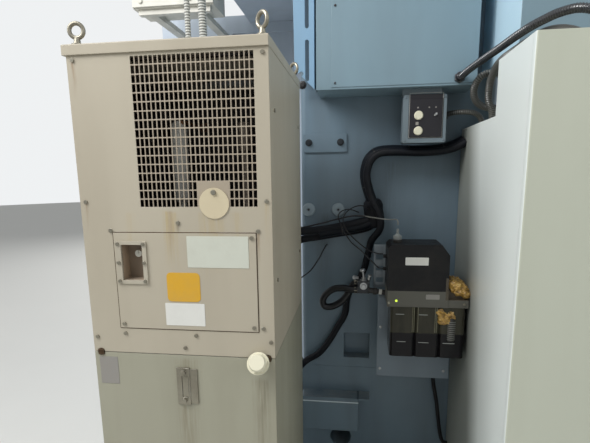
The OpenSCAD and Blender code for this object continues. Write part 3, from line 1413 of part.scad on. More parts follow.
bed();
leveling_feet();
column();
column_fittings();
guide_rails();
saddle();
work_table();
spindle_head();
spindle();
spindle_motor();
axis_motors();
z_ball_screw();
y_ball_screw();
x_ball_screw();
chiller_tank();
chiller_cabinet();
chiller_front_panel();
chiller_lid();
chiller_access_panel();
chiller_window_frame();
thermostat_knob();
swing_disc();
chiller_fan();
refrigeration_unit();
eyebolts();
panel_screws();
oil_filler_cap();
oil_sight_gauge();
relay_box();
slotted_bracket();
switch_box();
upper_push_button();
lower_push_button();
toggle_lever();
lubricator_bracket();
lubricator_tank();
lubricator_pump_head();
level_switch();
hose_bundle();
lubrication_lines();
cabinet_conduits();
rear_conduits();
electrical_cabinet();
cabinet_door();
main_switch_handle();
cabinet_components();
service_box();
magazine_frame();
tool_carousel();
arm_shaft();
tool_change_arm();
guard_panels();
front_guard();
front_door();
door_window();
control_pendant();
emergency_stop();
cycle_start_button();
override_knob();
junction_box();
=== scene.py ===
"""Dresses the machining centre's solids with paint, hoses, plates, screws and a plain studio."""

import math

import bpy
from mathutils import Matrix, Vector


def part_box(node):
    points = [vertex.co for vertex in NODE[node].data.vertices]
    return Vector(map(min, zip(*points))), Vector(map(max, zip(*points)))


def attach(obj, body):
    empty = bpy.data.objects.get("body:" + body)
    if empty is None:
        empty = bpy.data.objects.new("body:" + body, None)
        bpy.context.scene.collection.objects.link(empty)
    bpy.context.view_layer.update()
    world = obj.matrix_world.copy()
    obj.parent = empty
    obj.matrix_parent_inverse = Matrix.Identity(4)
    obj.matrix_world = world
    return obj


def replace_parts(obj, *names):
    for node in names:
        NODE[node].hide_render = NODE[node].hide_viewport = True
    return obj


bl_info = {
    "name": "Machining Centre Dresser",
    "version": (1, 0, 0),
    "blender": (4, 5, 0),
    "location": "3D View > Sidebar > Machining Centre",
    "description": "Finishes, hoses, plates and fittings of a vertical machining centre",
    "category": "Object",
}

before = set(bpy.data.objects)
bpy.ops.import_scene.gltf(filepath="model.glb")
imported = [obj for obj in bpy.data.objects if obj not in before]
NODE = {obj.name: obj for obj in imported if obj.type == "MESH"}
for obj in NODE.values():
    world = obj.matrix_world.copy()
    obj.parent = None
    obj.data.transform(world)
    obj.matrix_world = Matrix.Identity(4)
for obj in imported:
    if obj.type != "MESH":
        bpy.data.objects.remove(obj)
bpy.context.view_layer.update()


def tint(red, green, blue):
    """A screen colour from 0 to 255 as linear light."""
    out = []
    for value in (red, green, blue):
        share = value / 255
        out.append(share / 12.92 if share <= 0.04045 else ((share + 0.055) / 1.055) ** 2.4)
    return (*out, 1.0)


# Node graph helpers

GROUPS = {}
FINISH = {}


def wire(tree, socket, value):
    """Links a socket to another, or gives it a plain value."""
    if isinstance(value, bpy.types.NodeSocket):
        tree.links.new(value, socket)
    else:
        socket.default_value = value


def wire_all(tree, node, inputs):
    """Links or sets each named input of a node."""
    for key, value in inputs.items():
        wire(tree, node.inputs[key], value)


def put(tree, kind, inputs=None, **settings):
    """Adds one shader node, sets it and wires its inputs."""
    node = tree.nodes.new(kind)
    for key, value in settings.items():
        setattr(node, key, value)
    wire_all(tree, node, inputs or {})
    return node


def maths(tree, how, first, second=0.0, clamp=False):
    """One Math node's result."""
    node = put(tree, "ShaderNodeMath", operation=how, use_clamp=clamp)
    wire(tree, node.inputs[0], first)
    wire(tree, node.inputs[1], second)
    return node.outputs[0]


def plus(tree, first, second, clamp=False):
    """Two values added."""
    return maths(tree, "ADD", first, second, clamp)


def minus(tree, first, second, clamp=False):
    """The second value taken from the first."""
    return maths(tree, "SUBTRACT", first, second, clamp)


def times(tree, first, second, clamp=False):
    """Two values multiplied."""
    return maths(tree, "MULTIPLY", first, second, clamp)


def blend_colour(tree, share, first, second, how="MIX"):
    """The colour between two colours."""
    node = put(tree, "ShaderNodeMix", data_type="RGBA", blend_type=how, clamp_factor=True)
    wire(tree, node.inputs[0], share)
    wire(tree, node.inputs[6], first)
    wire(tree, node.inputs[7], second)
    return node.outputs[2]


def spread(tree, value, low, high, out_low=0.0, out_high=1.0):
    """Maps a value from one range to another and holds it there."""
    inputs = {"Value": value, "From Min": low, "From Max": high, "To Min": out_low, "To Max": out_high}
    return put(tree, "ShaderNodeMapRange", inputs, clamp=True).outputs[0]


def cloud(tree, place, scale, detail=3.0, rough=0.55):
    """A noise value between 0 and 1."""
    inputs = {"Vector": place, "Scale": scale, "Detail": detail, "Roughness": rough}
    return put(tree, "ShaderNodeTexNoise", inputs).outputs["Fac"]


def stretched(tree, place, scale):
    """The same place with its axes stretched."""
    return put(tree, "ShaderNodeMapping", {"Vector": place, "Scale": scale}).outputs[0]


def own_place(tree):
    """The place on the piece, in metres."""
    return put(tree, "ShaderNodeTexCoord").outputs["Object"]


def own_map(tree):
    """The piece's own map: X round a tube from 0 to 1, and Y along it in metres."""
    return put(tree, "ShaderNodeUVMap").outputs[0]


def axes(tree, place):
    """The X, Y and Z of a place."""
    return put(tree, "ShaderNodeSeparateXYZ", {"Vector": place}).outputs


def new_group(name, inputs, outputs):
    """An empty shader node group with named sockets."""
    group = bpy.data.node_groups.new(name, "ShaderNodeTree")
    for label, kind, value in inputs:
        item = group.interface.new_socket(label, in_out="INPUT", socket_type="NodeSocket" + kind)
        item.default_value = value
    for label, kind in outputs:
        group.interface.new_socket(label, in_out="OUTPUT", socket_type="NodeSocket" + kind)
    return group, group.nodes.new("NodeGroupInput").outputs, group.nodes.new("NodeGroupOutput").inputs


def use_group(tree, name, inputs):
    """Places a node group in a material."""
    return put(tree, "ShaderNodeGroup", inputs, node_tree=GROUPS[name]).outputs


def box_mask(tree, low, high):
    """1 inside the box between two corners and 0 outside it."""
    return use_group(tree, "inside_box", {"Low": low, "High": high})["Mask"]


def with_boxes(tree, seen, boxes):
    """A colour, with another one inside each box of a low corner, a high corner and that colour."""
    for low, high, other in boxes:
        seen = blend_colour(tree, box_mask(tree, low, high), seen, other)
    return seen


# Effects that finishes share


def enamel_group():
    """Enamel: a colour that wanders a little, with upright grime, specks and orange peel."""
    group, given, result = new_group(
        "enamel",
        [("Colour", "Color", (0.5, 0.5, 0.5, 1)), ("Wander", "Float", 0.06), ("Grime", "Float", 0.2),
         ("Grime Colour", "Color", tint(70, 62, 50)), ("Gloss", "Float", 0.42)],
        [("Colour", "Color"), ("Roughness", "Float"), ("Height", "Float")],
    )
    place = own_place(group)
    drift = cloud(group, place, 1.7, 5.0)
    fine = cloud(group, place, 46.0, 4.0, 0.7)
    streak = cloud(group, stretched(group, place, (3.2, 3.2, 0.5)), 2.2, 3.0, 0.5)
    shift = times(group, minus(group, drift, 0.5), times(group, given["Wander"], 4.0))
    shaded = put(
        group, "ShaderNodeBrightContrast", {"Color": given["Colour"], "Bright": times(group, shift, 0.25)})
    dirt = times(group, spread(group, streak, 0.42, 0.80), given["Grime"])
    specks = times(group, spread(group, fine, 0.66, 0.78), times(group, given["Grime"], 0.35))
    dirty = blend_colour(
        group, plus(group, dirt, specks, clamp=True), shaded.outputs[0], given["Grime Colour"])
    group.links.new(dirty, result["Colour"])
    wire(group, result["Roughness"], plus(group, given["Gloss"], times(group, dirt, 0.35)))
    peel = cloud(group, place, 320.0, 2.0)
    wire(group, result["Height"], plus(group, times(group, peel, 0.6), times(group, fine, 0.25)))
    return group


def soft_edges_group():
    """A rounded edge in the shading, and a broken mask along it."""
    group, given, result = new_group(
        "soft_edges",
        [("Radius", "Float", 0.002), ("Chips", "Float", 0.3)],
        [("Mask", "Float"), ("Normal", "Vector")],
    )
    round_over = put(group, "ShaderNodeBevel", {"Radius": given["Radius"]}, samples=4)
    flat = put(group, "ShaderNodeNewGeometry").outputs["True Normal"]
    agree = put(group, "ShaderNodeVectorMath", operation="DOT_PRODUCT")
    wire(group, agree.inputs[0], round_over.outputs[0])
    wire(group, agree.inputs[1], flat)
    edge = spread(group, minus(group, 1.0, agree.outputs["Value"]), 0.02, 0.22)
    patch = spread(group, cloud(group, own_place(group), 18.0, 6.0, 0.7), 0.50, 0.62)
    wire(group, result["Mask"], times(group, times(group, edge, patch), given["Chips"], clamp=True))
    group.links.new(round_over.outputs[0], result["Normal"])
    return group


def dust_group():
    """Dust that lies on what faces up."""
    group, given, result = new_group("dust", [("Amount", "Float", 0.4)], [("Mask", "Float")])
    up = axes(group, put(group, "ShaderNodeNewGeometry").outputs["Normal"])["Z"]
    lying = spread(group, up, 0.55, 0.98)
    loose = spread(group, cloud(group, own_place(group), 9.0, 5.0, 0.65), 0.32, 0.68)
    wire(group, result["Mask"], times(group, times(group, lying, loose), given["Amount"]))
    return group


def run_group():
    """A rust run down a wall, from its middle, top, width and length."""
    group, given, result = new_group(
        "run",
        [("Middle", "Float", 0.0), ("Top", "Float", 1.0), ("Width", "Float", 0.02), ("Length", "Float", 0.2)],
        [("Mask", "Float")],
    )
    place = own_place(group)
    axis = axes(group, place)
    ripple = times(group, minus(group, cloud(group, place, 22.0), 0.5), 0.012)
    off = maths(group, "ABSOLUTE", minus(group, plus(group, axis["X"], ripple), given["Middle"]))
    across = minus(group, 1.0, maths(group, "DIVIDE", off, given["Width"]), clamp=True)
    down = maths(group, "DIVIDE", minus(group, given["Top"], axis["Z"]), given["Length"])
    start = spread(group, down, 0.0, 0.04)
    fade = minus(group, 1.0, down, clamp=True)
    grain = spread(group, cloud(group, stretched(group, place, (30, 30, 1.2)), 5.0, 5.0, 0.6), 0.34, 0.62)
    body = times(group, times(group, across, start), times(group, fade, grain))
    wire(group, result["Mask"], times(group, body, 1.6, clamp=True))
    return group


def inside_box_group():
    """1 inside a box in the machine's frame and 0 outside it."""
    group, given, result = new_group(
        "inside_box", [("Low", "Vector", (0, 0, 0)), ("High", "Vector", (1, 1, 1))], [("Mask", "Float")]
    )
    axis = axes(group, own_place(group))
    low = axes(group, given["Low"])
    high = axes(group, given["High"])
    mask = 1.0
    for key in "XYZ":
        mask = times(group, mask, maths(group, "GREATER_THAN", axis[key], low[key]))
        mask = times(group, mask, maths(group, "LESS_THAN", axis[key], high[key]))
    wire(group, result["Mask"], mask)
    return group


def machined_group():
    """Ground or milled metal: fine lines along one direction and soft stains."""
    group, given, result = new_group(
        "machined",
        [("Colour", "Color", (0.5, 0.5, 0.5, 1)), ("Stretch", "Vector", (1, 30, 30)), ("Stain", "Float", 0.2)],
        [("Colour", "Color"), ("Roughness", "Float"), ("Height", "Float")],
    )
    place = own_place(group)
    along = put(group, "ShaderNodeVectorMath", operation="MULTIPLY")
    wire(group, along.inputs[0], place)
    wire(group, along.inputs[1], given["Stretch"])
    lines = cloud(group, along.outputs[0], 24.0, 4.0, 0.6)
    stain = spread(group, cloud(group, place, 6.0, 5.0, 0.6), 0.45, 0.75)
    dull = blend_colour(group, times(group, stain, given["Stain"]), given["Colour"], tint(88, 78, 62))
    group.links.new(blend_colour(group, times(group, lines, 0.25), dull, tint(40, 42, 46)), result["Colour"])
    wire(group, result["Roughness"], plus(group, 0.26, times(group, plus(group, lines, stain), 0.16)))
    wire(group, result["Height"], lines)
    return group


def moulded_group():
    """Moulded plastic or rubber: a fine pitted grain with faint handling marks."""
    group, given, result = new_group(
        "moulded",
        [("Colour", "Color", (0.1, 0.1, 0.1, 1)), ("Gloss", "Float", 0.5), ("Marks", "Float", 0.2)],
        [("Colour", "Color"), ("Roughness", "Float"), ("Height", "Float")],
    )
    place = own_place(group)
    pits = cloud(group, place, 700.0, 2.0)
    marks = spread(group, cloud(group, place, 14.0, 6.0, 0.7), 0.44, 0.72)
    group.links.new(
        blend_colour(group, times(group, marks, given["Marks"]), given["Colour"], tint(150, 142, 128)),
        result["Colour"],
    )
    wire(group, result["Roughness"], plus(group, given["Gloss"], times(group, marks, 0.18)))
    wire(group, result["Height"], pits)
    return group


def make_groups():
    """Builds every effect that more than one finish uses."""
    for build in (enamel_group, soft_edges_group, dust_group, run_group, inside_box_group, machined_group,
                  moulded_group):
        group = build()
        GROUPS[group.name] = group


def begin_finish(name):
    """A new material with its tree and its shader."""
    material = bpy.data.materials.new(name)
    material.use_nodes = True
    tree = material.node_tree
    tree.nodes.clear()
    shader = tree.nodes.new("ShaderNodeBsdfPrincipled")
    out = tree.nodes.new("ShaderNodeOutputMaterial")
    tree.links.new(shader.outputs[0], out.inputs["Surface"])
    FINISH[name] = material
    return tree, shader


def bumped(tree, height, strength, distance, normal=None):
    """A bump normal from a height."""
    inputs = {"Height": height, "Strength": strength, "Distance": distance}
    if normal is not None:
        inputs["Normal"] = normal
    return put(tree, "ShaderNodeBump", inputs).outputs[0]


# How a face's painted shade leans with height, and its share where it is darkest
SHADE_LEAN = -0.20
SHADE_MOST = 0.74


def paint_finish(name, colour, gloss, wander, grime, chips, dust, edge, runs=(), boxes=(), under=(92, 78, 66),
                 dirt=(70, 62, 50), fade=None):
    """Machine enamel with grime, dust, chipped edges, rust runs and boxes of another colour, some of which are
    painted highlights and painted shade.
    A fade darkens one face from the back to the front, between two places along Y, as a painted shadow."""
    tree, shader = begin_finish(name)
    coat = use_group(tree, "enamel", {"Colour": colour, "Wander": wander, "Grime": grime, "Gloss": gloss,
                                      "Grime Colour": tint(*dirt)})
    seen = with_boxes(tree, coat["Colour"], boxes)
    for middle, top, width, length, share, hue in runs:
        mask = use_group(tree, "run", {"Middle": middle, "Top": top, "Width": width, "Length": length})["Mask"]
        seen = blend_colour(tree, times(tree, mask, share), seen, hue)
    # The fade is a painted shadow across one face
    if fade:
        face, start, end, hue = fade
        axis = axes(tree, own_place(tree))
        slope = plus(tree, axis["Y"], times(tree, axis["Z"], SHADE_LEAN))
        share = times(tree, box_mask(tree, *face), spread(tree, slope, start, end, 0.0, SHADE_MOST))
        seen = blend_colour(tree, share, seen, hue)
    seen = blend_colour(tree, use_group(tree, "dust", {"Amount": dust})["Mask"], seen, tint(186, 182, 172))
    edges = use_group(tree, "soft_edges", {"Radius": edge, "Chips": chips})
    wire_all(tree, shader, {
        "Base Color": blend_colour(tree, edges["Mask"], seen, tint(*under)),
        "Roughness": coat["Roughness"],
        "Normal": bumped(tree, coat["Height"], 0.12, 0.0006, edges["Normal"]),
        "Specular IOR Level": 0.45,
    })


def metal_finish(name, colour, stretch, stain):
    """Ground, milled or plated metal."""
    tree, shader = begin_finish(name)
    metal = use_group(tree, "machined", {"Colour": colour, "Stretch": stretch, "Stain": stain})
    edges = use_group(tree, "soft_edges", {"Radius": 0.0015, "Chips": 0.6})
    wire_all(tree, shader, {
        "Base Color": blend_colour(tree, edges["Mask"], metal["Colour"], tint(205, 205, 200)),
        "Metallic": 0.85,
        "Roughness": metal["Roughness"],
        "Normal": bumped(tree, metal["Height"], 0.08, 0.0004, edges["Normal"]),
    })


def plastic_finish(name, colour, gloss, marks, grain, edge=0.001, coat=0.0, boxes=(), shine=0.5):
    """Moulded plastic, rubber or lacquer."""
    tree, shader = begin_finish(name)
    skin = use_group(tree, "moulded", {"Colour": colour, "Gloss": gloss, "Marks": marks})
    seen = with_boxes(tree, skin["Colour"], boxes)
    edges = use_group(tree, "soft_edges", {"Radius": edge, "Chips": 0.15})
    wire_all(tree, shader, {
        "Base Color": blend_colour(tree, edges["Mask"], seen, tint(150, 146, 138)),
        "Roughness": skin["Roughness"],
        "Normal": bumped(tree, skin["Height"], grain, 0.0003, edges["Normal"]),
        "Specular IOR Level": shine,
        "Coat Weight": coat,
        "Coat Roughness": 0.08,
    })


def conduit_finish(name, colour, valley_shade, pitch, gloss, coat=0.0):
    """Corrugated plastic with painted shade in its valleys, which the tube's own map counts."""
    tree, shader = begin_finish(name)
    skin = use_group(tree, "moulded", {"Colour": colour, "Gloss": gloss, "Marks": 0.15})
    along = axes(tree, own_map(tree))["Y"]
    wave = maths(tree, "COSINE", minus(tree, times(tree, along, 2 * math.pi / pitch), math.pi / 4))
    # The share of painted shade in each valley
    low = times(tree, spread(tree, wave, 0.1, -0.7), 0.9)
    wire_all(tree, shader, {
        "Base Color": blend_colour(tree, low, skin["Colour"], valley_shade),
        "Roughness": plus(tree, skin["Roughness"], times(tree, low, 0.2)),
        "Normal": bumped(tree, skin["Height"], 0.08, 0.0003),
        "Coat Weight": coat,
        "Coat Roughness": 0.1,
    })


# Threads of the woven sleeve: their turn round the tube and their turn along each metre of it
WEAVE_ROUND = 132.0
WEAVE_ALONG = 620.0


def sleeve_finish():
    """The black woven sleeve of the hose bundle, its two thread directions crossing."""
    tree, shader = begin_finish("woven_sleeve")
    spot = axes(tree, own_map(tree))
    across, along = times(tree, spot["X"], WEAVE_ROUND), times(tree, spot["Y"], WEAVE_ALONG)
    one = maths(tree, "SINE", plus(tree, across, along))
    other = maths(tree, "SINE", minus(tree, across, along))
    weave = times(tree, one, other)
    worn = cloud(tree, own_place(tree), 16.0, 4.0)
    dark = blend_colour(tree, worn, tint(10, 14, 21), tint(20, 25, 33))
    wire_all(tree, shader, {
        "Base Color": blend_colour(tree, spread(tree, weave, 0.1, 1.0, 0.0, 0.25), dark, tint(34, 40, 48)),
        "Roughness": spread(tree, worn, 0.3, 0.7, 0.42, 0.6),
        "Normal": bumped(tree, weave, 0.25, 0.0008),
        "Specular IOR Level": 0.2,
    })


def film_finish():
    """Creased amber film, with painted shade brown in its folds and a pale painted highlight on its ridges."""
    tree, shader = begin_finish("amber_film")
    folds = cloud(tree, stretched(tree, own_place(tree), (1, 1, 2.2)), 62.0, 5.0, 0.6)
    # Painted shade in the folds, then a painted highlight on the ridges
    dark = blend_colour(tree, spread(tree, folds, 0.34, 0.50), tint(112, 84, 40), tint(190, 150, 74))
    wire_all(tree, shader, {
        "Base Color": blend_colour(tree, spread(tree, folds, 0.56, 0.70), dark, tint(228, 200, 132)),
        "Roughness": spread(tree, folds, 0.3, 0.7, 0.22, 0.42),
        "Normal": bumped(tree, folds, 0.5, 0.002),
        "Coat Weight": 0.4,
        "Coat Roughness": 0.1,
    })


# The lubricator's oil, from full colour to none, and the marks on its chambers as (left, right) and height
OIL_LEVEL = (0.779, 0.784)
LEVEL_MARKS = (
    ((-0.002, 0.030), 0.853), ((0.085, 0.118), 0.853), ((0.004, 0.038), 0.742), ((0.086, 0.125), 0.741),
    ((0.178, 0.222), 0.741))
MARK_HEIGHT = 0.0025


def oil_tank_finish():
    """Smoky moulded plastic with dark oil up to its level and pale level marks."""
    tree, shader = begin_finish("smoky_plastic")
    place = own_place(tree)
    sway = times(tree, cloud(tree, place, 30.0, 3.0), 0.004)
    oil = spread(tree, plus(tree, axes(tree, place)["Z"], sway), *OIL_LEVEL, 1.0, 0.0)
    smoke = cloud(tree, stretched(tree, place, (6, 1, 1)), 9.0, 5.0)
    seen = blend_colour(
        tree, oil, blend_colour(tree, smoke, tint(38, 37, 30), tint(70, 68, 56)), tint(13, 11, 15))
    for (left, right), height in LEVEL_MARKS:
        mark = box_mask(tree, (left, -1.05, height), (right, -0.9, height + MARK_HEIGHT))
        seen = blend_colour(tree, times(tree, mark, 0.8), seen, tint(180, 184, 180))
    wire_all(tree, shader, {
        "Base Color": seen,
        "Roughness": spread(tree, cloud(tree, place, 20.0, 4.0), 0.3, 0.8, 0.12, 0.3),
        "Normal": use_group(tree, "soft_edges", {"Radius": 0.003, "Chips": 0.1})["Normal"],
        "Specular IOR Level": 0.2,
        "Coat Weight": 0.1,
        "Coat Roughness": 0.06,
    })


def window_finish():
    """Clear laminated glass of the door, faintly smeared."""
    tree, shader = begin_finish("clear_glass")
    smear = cloud(tree, stretched(tree, own_place(tree), (1, 1, 3)), 5.0, 5.0, 0.6)
    wire_all(tree, shader, {
        "Base Color": blend_colour(tree, smear, tint(222, 232, 228), tint(200, 214, 210)),
        "Roughness": spread(tree, smear, 0.4, 0.8, 0.03, 0.16),
        "Metallic": 0.0,
        "Transmission Weight": 0.92,
        "IOR": 1.45,
    })


def screen_finish():
    """The dark glass of the display."""
    tree, shader = begin_finish("screen_glass")
    smear = cloud(tree, own_place(tree), 12.0, 5.0, 0.6)
    wire_all(tree, shader, {
        "Base Color": blend_colour(tree, smear, tint(16, 20, 26), tint(28, 34, 42)),
        "Roughness": spread(tree, smear, 0.3, 0.8, 0.06, 0.2),
        "Coat Weight": 0.6,
    })


def lamp_finish():
    """The lit yellow-green diode."""
    tree, shader = begin_finish("lit_diode")
    glow = cloud(tree, own_place(tree), 300.0, 2.0)
    wire_all(tree, shader, {
        "Base Color": blend_colour(tree, glow, tint(190, 220, 60), tint(214, 236, 96)),
        "Emission Color": blend_colour(tree, glow, tint(180, 220, 40), tint(220, 240, 90)),
        "Emission Strength": 1.2,
        "Roughness": 0.3,
    })


# Finishes

# Places of another colour on a solid: two opposite corners, in metres in the machine's frame
# The ledge's top face, painted lighter as a painted highlight
LEDGE_TOP_HIGHLIGHT = ((-0.46, -0.90, 0.3370), (-0.06, -0.7125, 0.3425))
PLATE_BOLTS = ((-0.40, -0.7315, 1.500), (-0.20, -0.7201, 1.548))
# The domed plugs, painted lighter as a painted highlight
DOMED_PLUGS_HIGHLIGHT = ((-0.42, -0.7245, 1.190), (-0.19, -0.7121, 1.285))
SWITCH_FACE = ((0.038, -0.8835, 1.522), (0.169, -0.8798, 1.694))
# The service box's left side, painted lighter as painted light from the left
SERVICE_BOX_LIT_SIDE = ((0.3400, -1.161, 1.780), (0.3420, -0.70, 2.460))
# The inside of the chiller cabinet, painted dark brown as painted shade
CHILLER_INSIDE_SHADE = ((-0.9125, -1.5872, 0.890), (-0.3755, -0.9895, 1.7045))
INTAKE_BARS = ((-0.7365, -1.60, 1.3115), (-0.4130, -1.5862, 1.6965))
# The walls of the thermostat window's recess, painted darker as painted shade
WINDOW_RECESS_SHADE = ((-0.8065, -1.5862, 1.1025), (-0.7395, -1.5450, 1.2110))
# The cabinet's left side, painted lighter as painted light, with a painted shadow darkening it from the back to the
# front
CABINET_SIDE_LIT_AND_SHADED = ((0.2680, -1.514, -0.01), (0.2735, -0.72, 1.74))
FITTING_BLOCK = ((-0.1520, -0.95, 0.8930), (-0.0980, -0.80, 0.9560))
LIQUID_RECEIVER = ((-0.716, -1.437, 0.9), (-0.660, -1.380, 1.60))
FILTER_DRIER = ((-0.545, -1.30, 0.9), (-0.497, -1.240, 1.60))
COPPER_RISER = ((-0.455, -1.26, 0.9), (-0.425, -1.210, 1.66))
COPPER_LINK = ((-0.700, -1.42, 1.54), (-0.670, -1.17, 1.57))
PUMP_FLANGE = ((-0.049, -1.045, 0.80), (0.30, -0.80, 0.9479))
CONNECTOR_SIDE = ((0.180, -1.045, 0.915), (0.30, -0.80, 1.00))

RUST = tint(128, 92, 52)
PALE_RUST = tint(180, 162, 122)
BROWN = tint(44, 28, 24)
OIL_STAIN = tint(120, 108, 82)
WALL_STAIN = tint(60, 58, 52)

# Runs down a wall: the middle's X, the top's Z, width, length, share and colour
COLUMN_RUNS = ((-0.30, 1.22, 0.04, 0.5, 0.25, WALL_STAIN), (-0.02, 1.45, 0.05, 0.6, 0.2, WALL_STAIN))
CHILLER_RUNS = (
    (-0.667, 1.302, 0.012, 0.17, 0.7, PALE_RUST), (-0.655, 1.302, 0.010, 0.15, 0.45, RUST),
    (-0.647, 1.300, 0.016, 0.20, 0.6, PALE_RUST), (-0.530, 1.282, 0.035, 0.16, 0.45, PALE_RUST),
    (-0.560, 1.300, 0.02, 0.20, 0.4, PALE_RUST), (-0.47, 1.300, 0.02, 0.20, 0.3, PALE_RUST),
    (-0.897, 1.690, 0.008, 0.10, 0.5, RUST), (-0.388, 1.322, 0.008, 0.12, 0.4, PALE_RUST),
    (-0.897, 1.322, 0.007, 0.08, 0.35, RUST), (-0.77, 1.30, 0.02, 0.22, 0.25, PALE_RUST),
    (-0.413, 1.243, 0.006, 0.1, 0.4, RUST), (-0.634, 1.265, 0.008, 0.03, 0.5, BROWN))
TANK_RUNS = (
    (-0.634, 0.882, 0.05, 0.32, 0.35, OIL_STAIN), (-0.416, 0.835, 0.03, 0.45, 0.45, tint(96, 84, 58)),
    (-0.640, 0.735, 0.04, 0.4, 0.3, tint(110, 98, 70)), (-0.88, 0.60, 0.05, 0.5, 0.2, OIL_STAIN))


def make_paints(hue):
    """The enamels, from the colours in the panel."""
    casting, relay = (*hue.casting, 1), (*hue.relay_box, 1)
    # The ledge's top face carries a painted highlight
    paint_finish(
        "casting_paint", casting, gloss=0.40, wander=0.09, grime=0.32, chips=0.25, dust=0.35, edge=0.005,
        runs=COLUMN_RUNS, boxes=[(*LEDGE_TOP_HIGHLIGHT, tint(214, 226, 232))])
    # The domed plugs are painted lighter here, as a painted highlight
    paint_finish(
        "fittings_paint", casting, gloss=0.40, wander=0.06, grime=0.2, chips=0.2, dust=0.35, edge=0.003,
        boxes=[(*PLATE_BOLTS, tint(34, 40, 46)), (*DOMED_PLUGS_HIGHLIGHT, tint(150, 166, 176))])
    # The slotted plate and the relay and service boxes are the casting's blue-grey painted lighter, as painted light
    paint_finish(
        "pale_blue_paint", (*hue.bracket, 1), gloss=0.36, wander=0.05, grime=0.15, chips=0.25, dust=0.3,
        edge=0.002)
    paint_finish("relay_paint", relay, gloss=0.36, wander=0.05, grime=0.16, chips=0.25, dust=0.45, edge=0.003)
    # The service box's left side is painted lighter, as painted light
    paint_finish(
        "service_paint", relay, gloss=0.36, wander=0.05, grime=0.16, chips=0.25, dust=0.45, edge=0.004,
        boxes=[(*SERVICE_BOX_LIT_SIDE, tint(196, 226, 242))])
    paint_finish(
        "switch_paint", tint(112, 126, 134), gloss=0.36, wander=0.05, grime=0.16, chips=0.25, dust=0.45,
        edge=0.003, boxes=[(*SWITCH_FACE, tint(26, 24, 30))])
    paint_finish(
        "strip_paint", tint(128, 138, 146), gloss=0.36, wander=0.05, grime=0.2, chips=0.3, dust=0.3,
        edge=0.001)
    # The inside of the cabinet and the walls of the thermostat window's recess are painted darker, as painted shade
    paint_finish(
        "chiller_paint", (*hue.chiller, 1), gloss=0.42, wander=0.05, grime=0.16, chips=0.28, dust=0.4,
        edge=0.0025, runs=CHILLER_RUNS,
        boxes=[(*CHILLER_INSIDE_SHADE, BROWN), (*INTAKE_BARS, tint(168, 156, 138)),
               (*WINDOW_RECESS_SHADE, tint(160, 142, 122))],
        under=(112, 88, 62), dirt=(112, 96, 72))
    paint_finish(
        "tank_paint", (*hue.tank, 1), gloss=0.40, wander=0.06, grime=0.26, chips=0.22, dust=0.3, edge=0.003,
        runs=TANK_RUNS, dirt=(104, 96, 74))
    # The cabinet's left side is painted lighter as painted light, and a painted shadow darkens it from the back to
    # the front
    paint_finish(
        "cabinet_paint", (*hue.cabinet, 1), gloss=0.34, wander=0.035, grime=0.10, chips=0.15, dust=0.45,
        edge=0.004, boxes=[(*CABINET_SIDE_LIT_AND_SHADED, tint(228, 234, 231))], dirt=(128, 122, 98),
        fade=(CABINET_SIDE_LIT_AND_SHADED, -1.345, -1.165, tint(92, 94, 80)))
    paint_finish(
        "guard_paint", (*hue.guard, 1), gloss=0.40, wander=0.05, grime=0.16, chips=0.2, dust=0.4, edge=0.003)
    paint_finish(
        "front_paint", (*hue.front, 1), gloss=0.36, wander=0.04, grime=0.12, chips=0.18, dust=0.35,
        edge=0.003, dirt=(120, 116, 104))
    paint_finish(
        "door_paint", (*hue.door, 1), gloss=0.34, wander=0.05, grime=0.14, chips=0.2, dust=0.35, edge=0.003)
    paint_finish(
        "white_paint", tint(222, 220, 210), gloss=0.40, wander=0.05, grime=0.28, chips=0.25, dust=0.5,
        edge=0.003)
    paint_finish(
        "motor_paint", tint(34, 35, 38), gloss=0.38, wander=0.10, grime=0.15, chips=0.4, dust=0.5, edge=0.002,
        under=(120, 120, 118))
    paint_finish(
        "pendant_paint", tint(74, 80, 88), gloss=0.42, wander=0.06, grime=0.12, chips=0.25, dust=0.35,
        edge=0.002, under=(140, 140, 138))
    paint_finish(
        "bracket_paint", tint(122, 136, 148), gloss=0.40, wander=0.07, grime=0.2, chips=0.25, dust=0.5,
        edge=0.002, boxes=[(*FITTING_BLOCK, tint(44, 48, 54))])
    paint_finish(
        "cream_sheet", tint(214, 202, 172), gloss=0.45, wander=0.05, grime=0.22, chips=0.35, dust=0.2,
        edge=0.001, dirt=(140, 118, 82))
    paint_finish(
        "frame_plate", tint(182, 175, 158), gloss=0.36, wander=0.08, grime=0.35, chips=0.6, dust=0.2,
        edge=0.001, dirt=(92, 76, 54))
    # A brown that stands for dirt and for painted shade in a recess
    paint_finish(
        "recess_dirt_and_shade", tint(138, 122, 104), gloss=0.5, wander=0.2, grime=0.5, chips=0.1, dust=0.3, edge=0.001)
    paint_finish(
        "condenser_parts", tint(48, 40, 34), gloss=0.5, wander=0.2, grime=0.4, chips=0.2, dust=0.6,
        edge=0.001,
        boxes=[(*LIQUID_RECEIVER, tint(226, 226, 218)), (*FILTER_DRIER, tint(190, 176, 160)),
               (*COPPER_RISER, tint(142, 98, 66)), (*COPPER_LINK, tint(150, 104, 70))])
    paint_finish(
        "cabinet_parts", tint(196, 192, 180), gloss=0.45, wander=0.06, grime=0.15, chips=0.1, dust=0.5,
        edge=0.001)


def make_metals():
    """The bare and plated metals; the lines run along the axis that is stretched least."""
    metal_finish("machined_steel", tint(176, 178, 180), stretch=(1, 30, 30), stain=0.12)
    metal_finish("bright_screw", tint(196, 198, 200), stretch=(40, 1, 1), stain=0.05)
    metal_finish("dark_steel", tint(74, 74, 78), stretch=(1, 12, 12), stain=0.25)
    metal_finish("plated_steel", tint(158, 153, 138), stretch=(6, 6, 6), stain=0.45)
    metal_finish("rusty_steel", tint(88, 70, 52), stretch=(6, 6, 6), stain=0.6)
    metal_finish("tool_steel", tint(150, 152, 156), stretch=(30, 8, 8), stain=0.15)


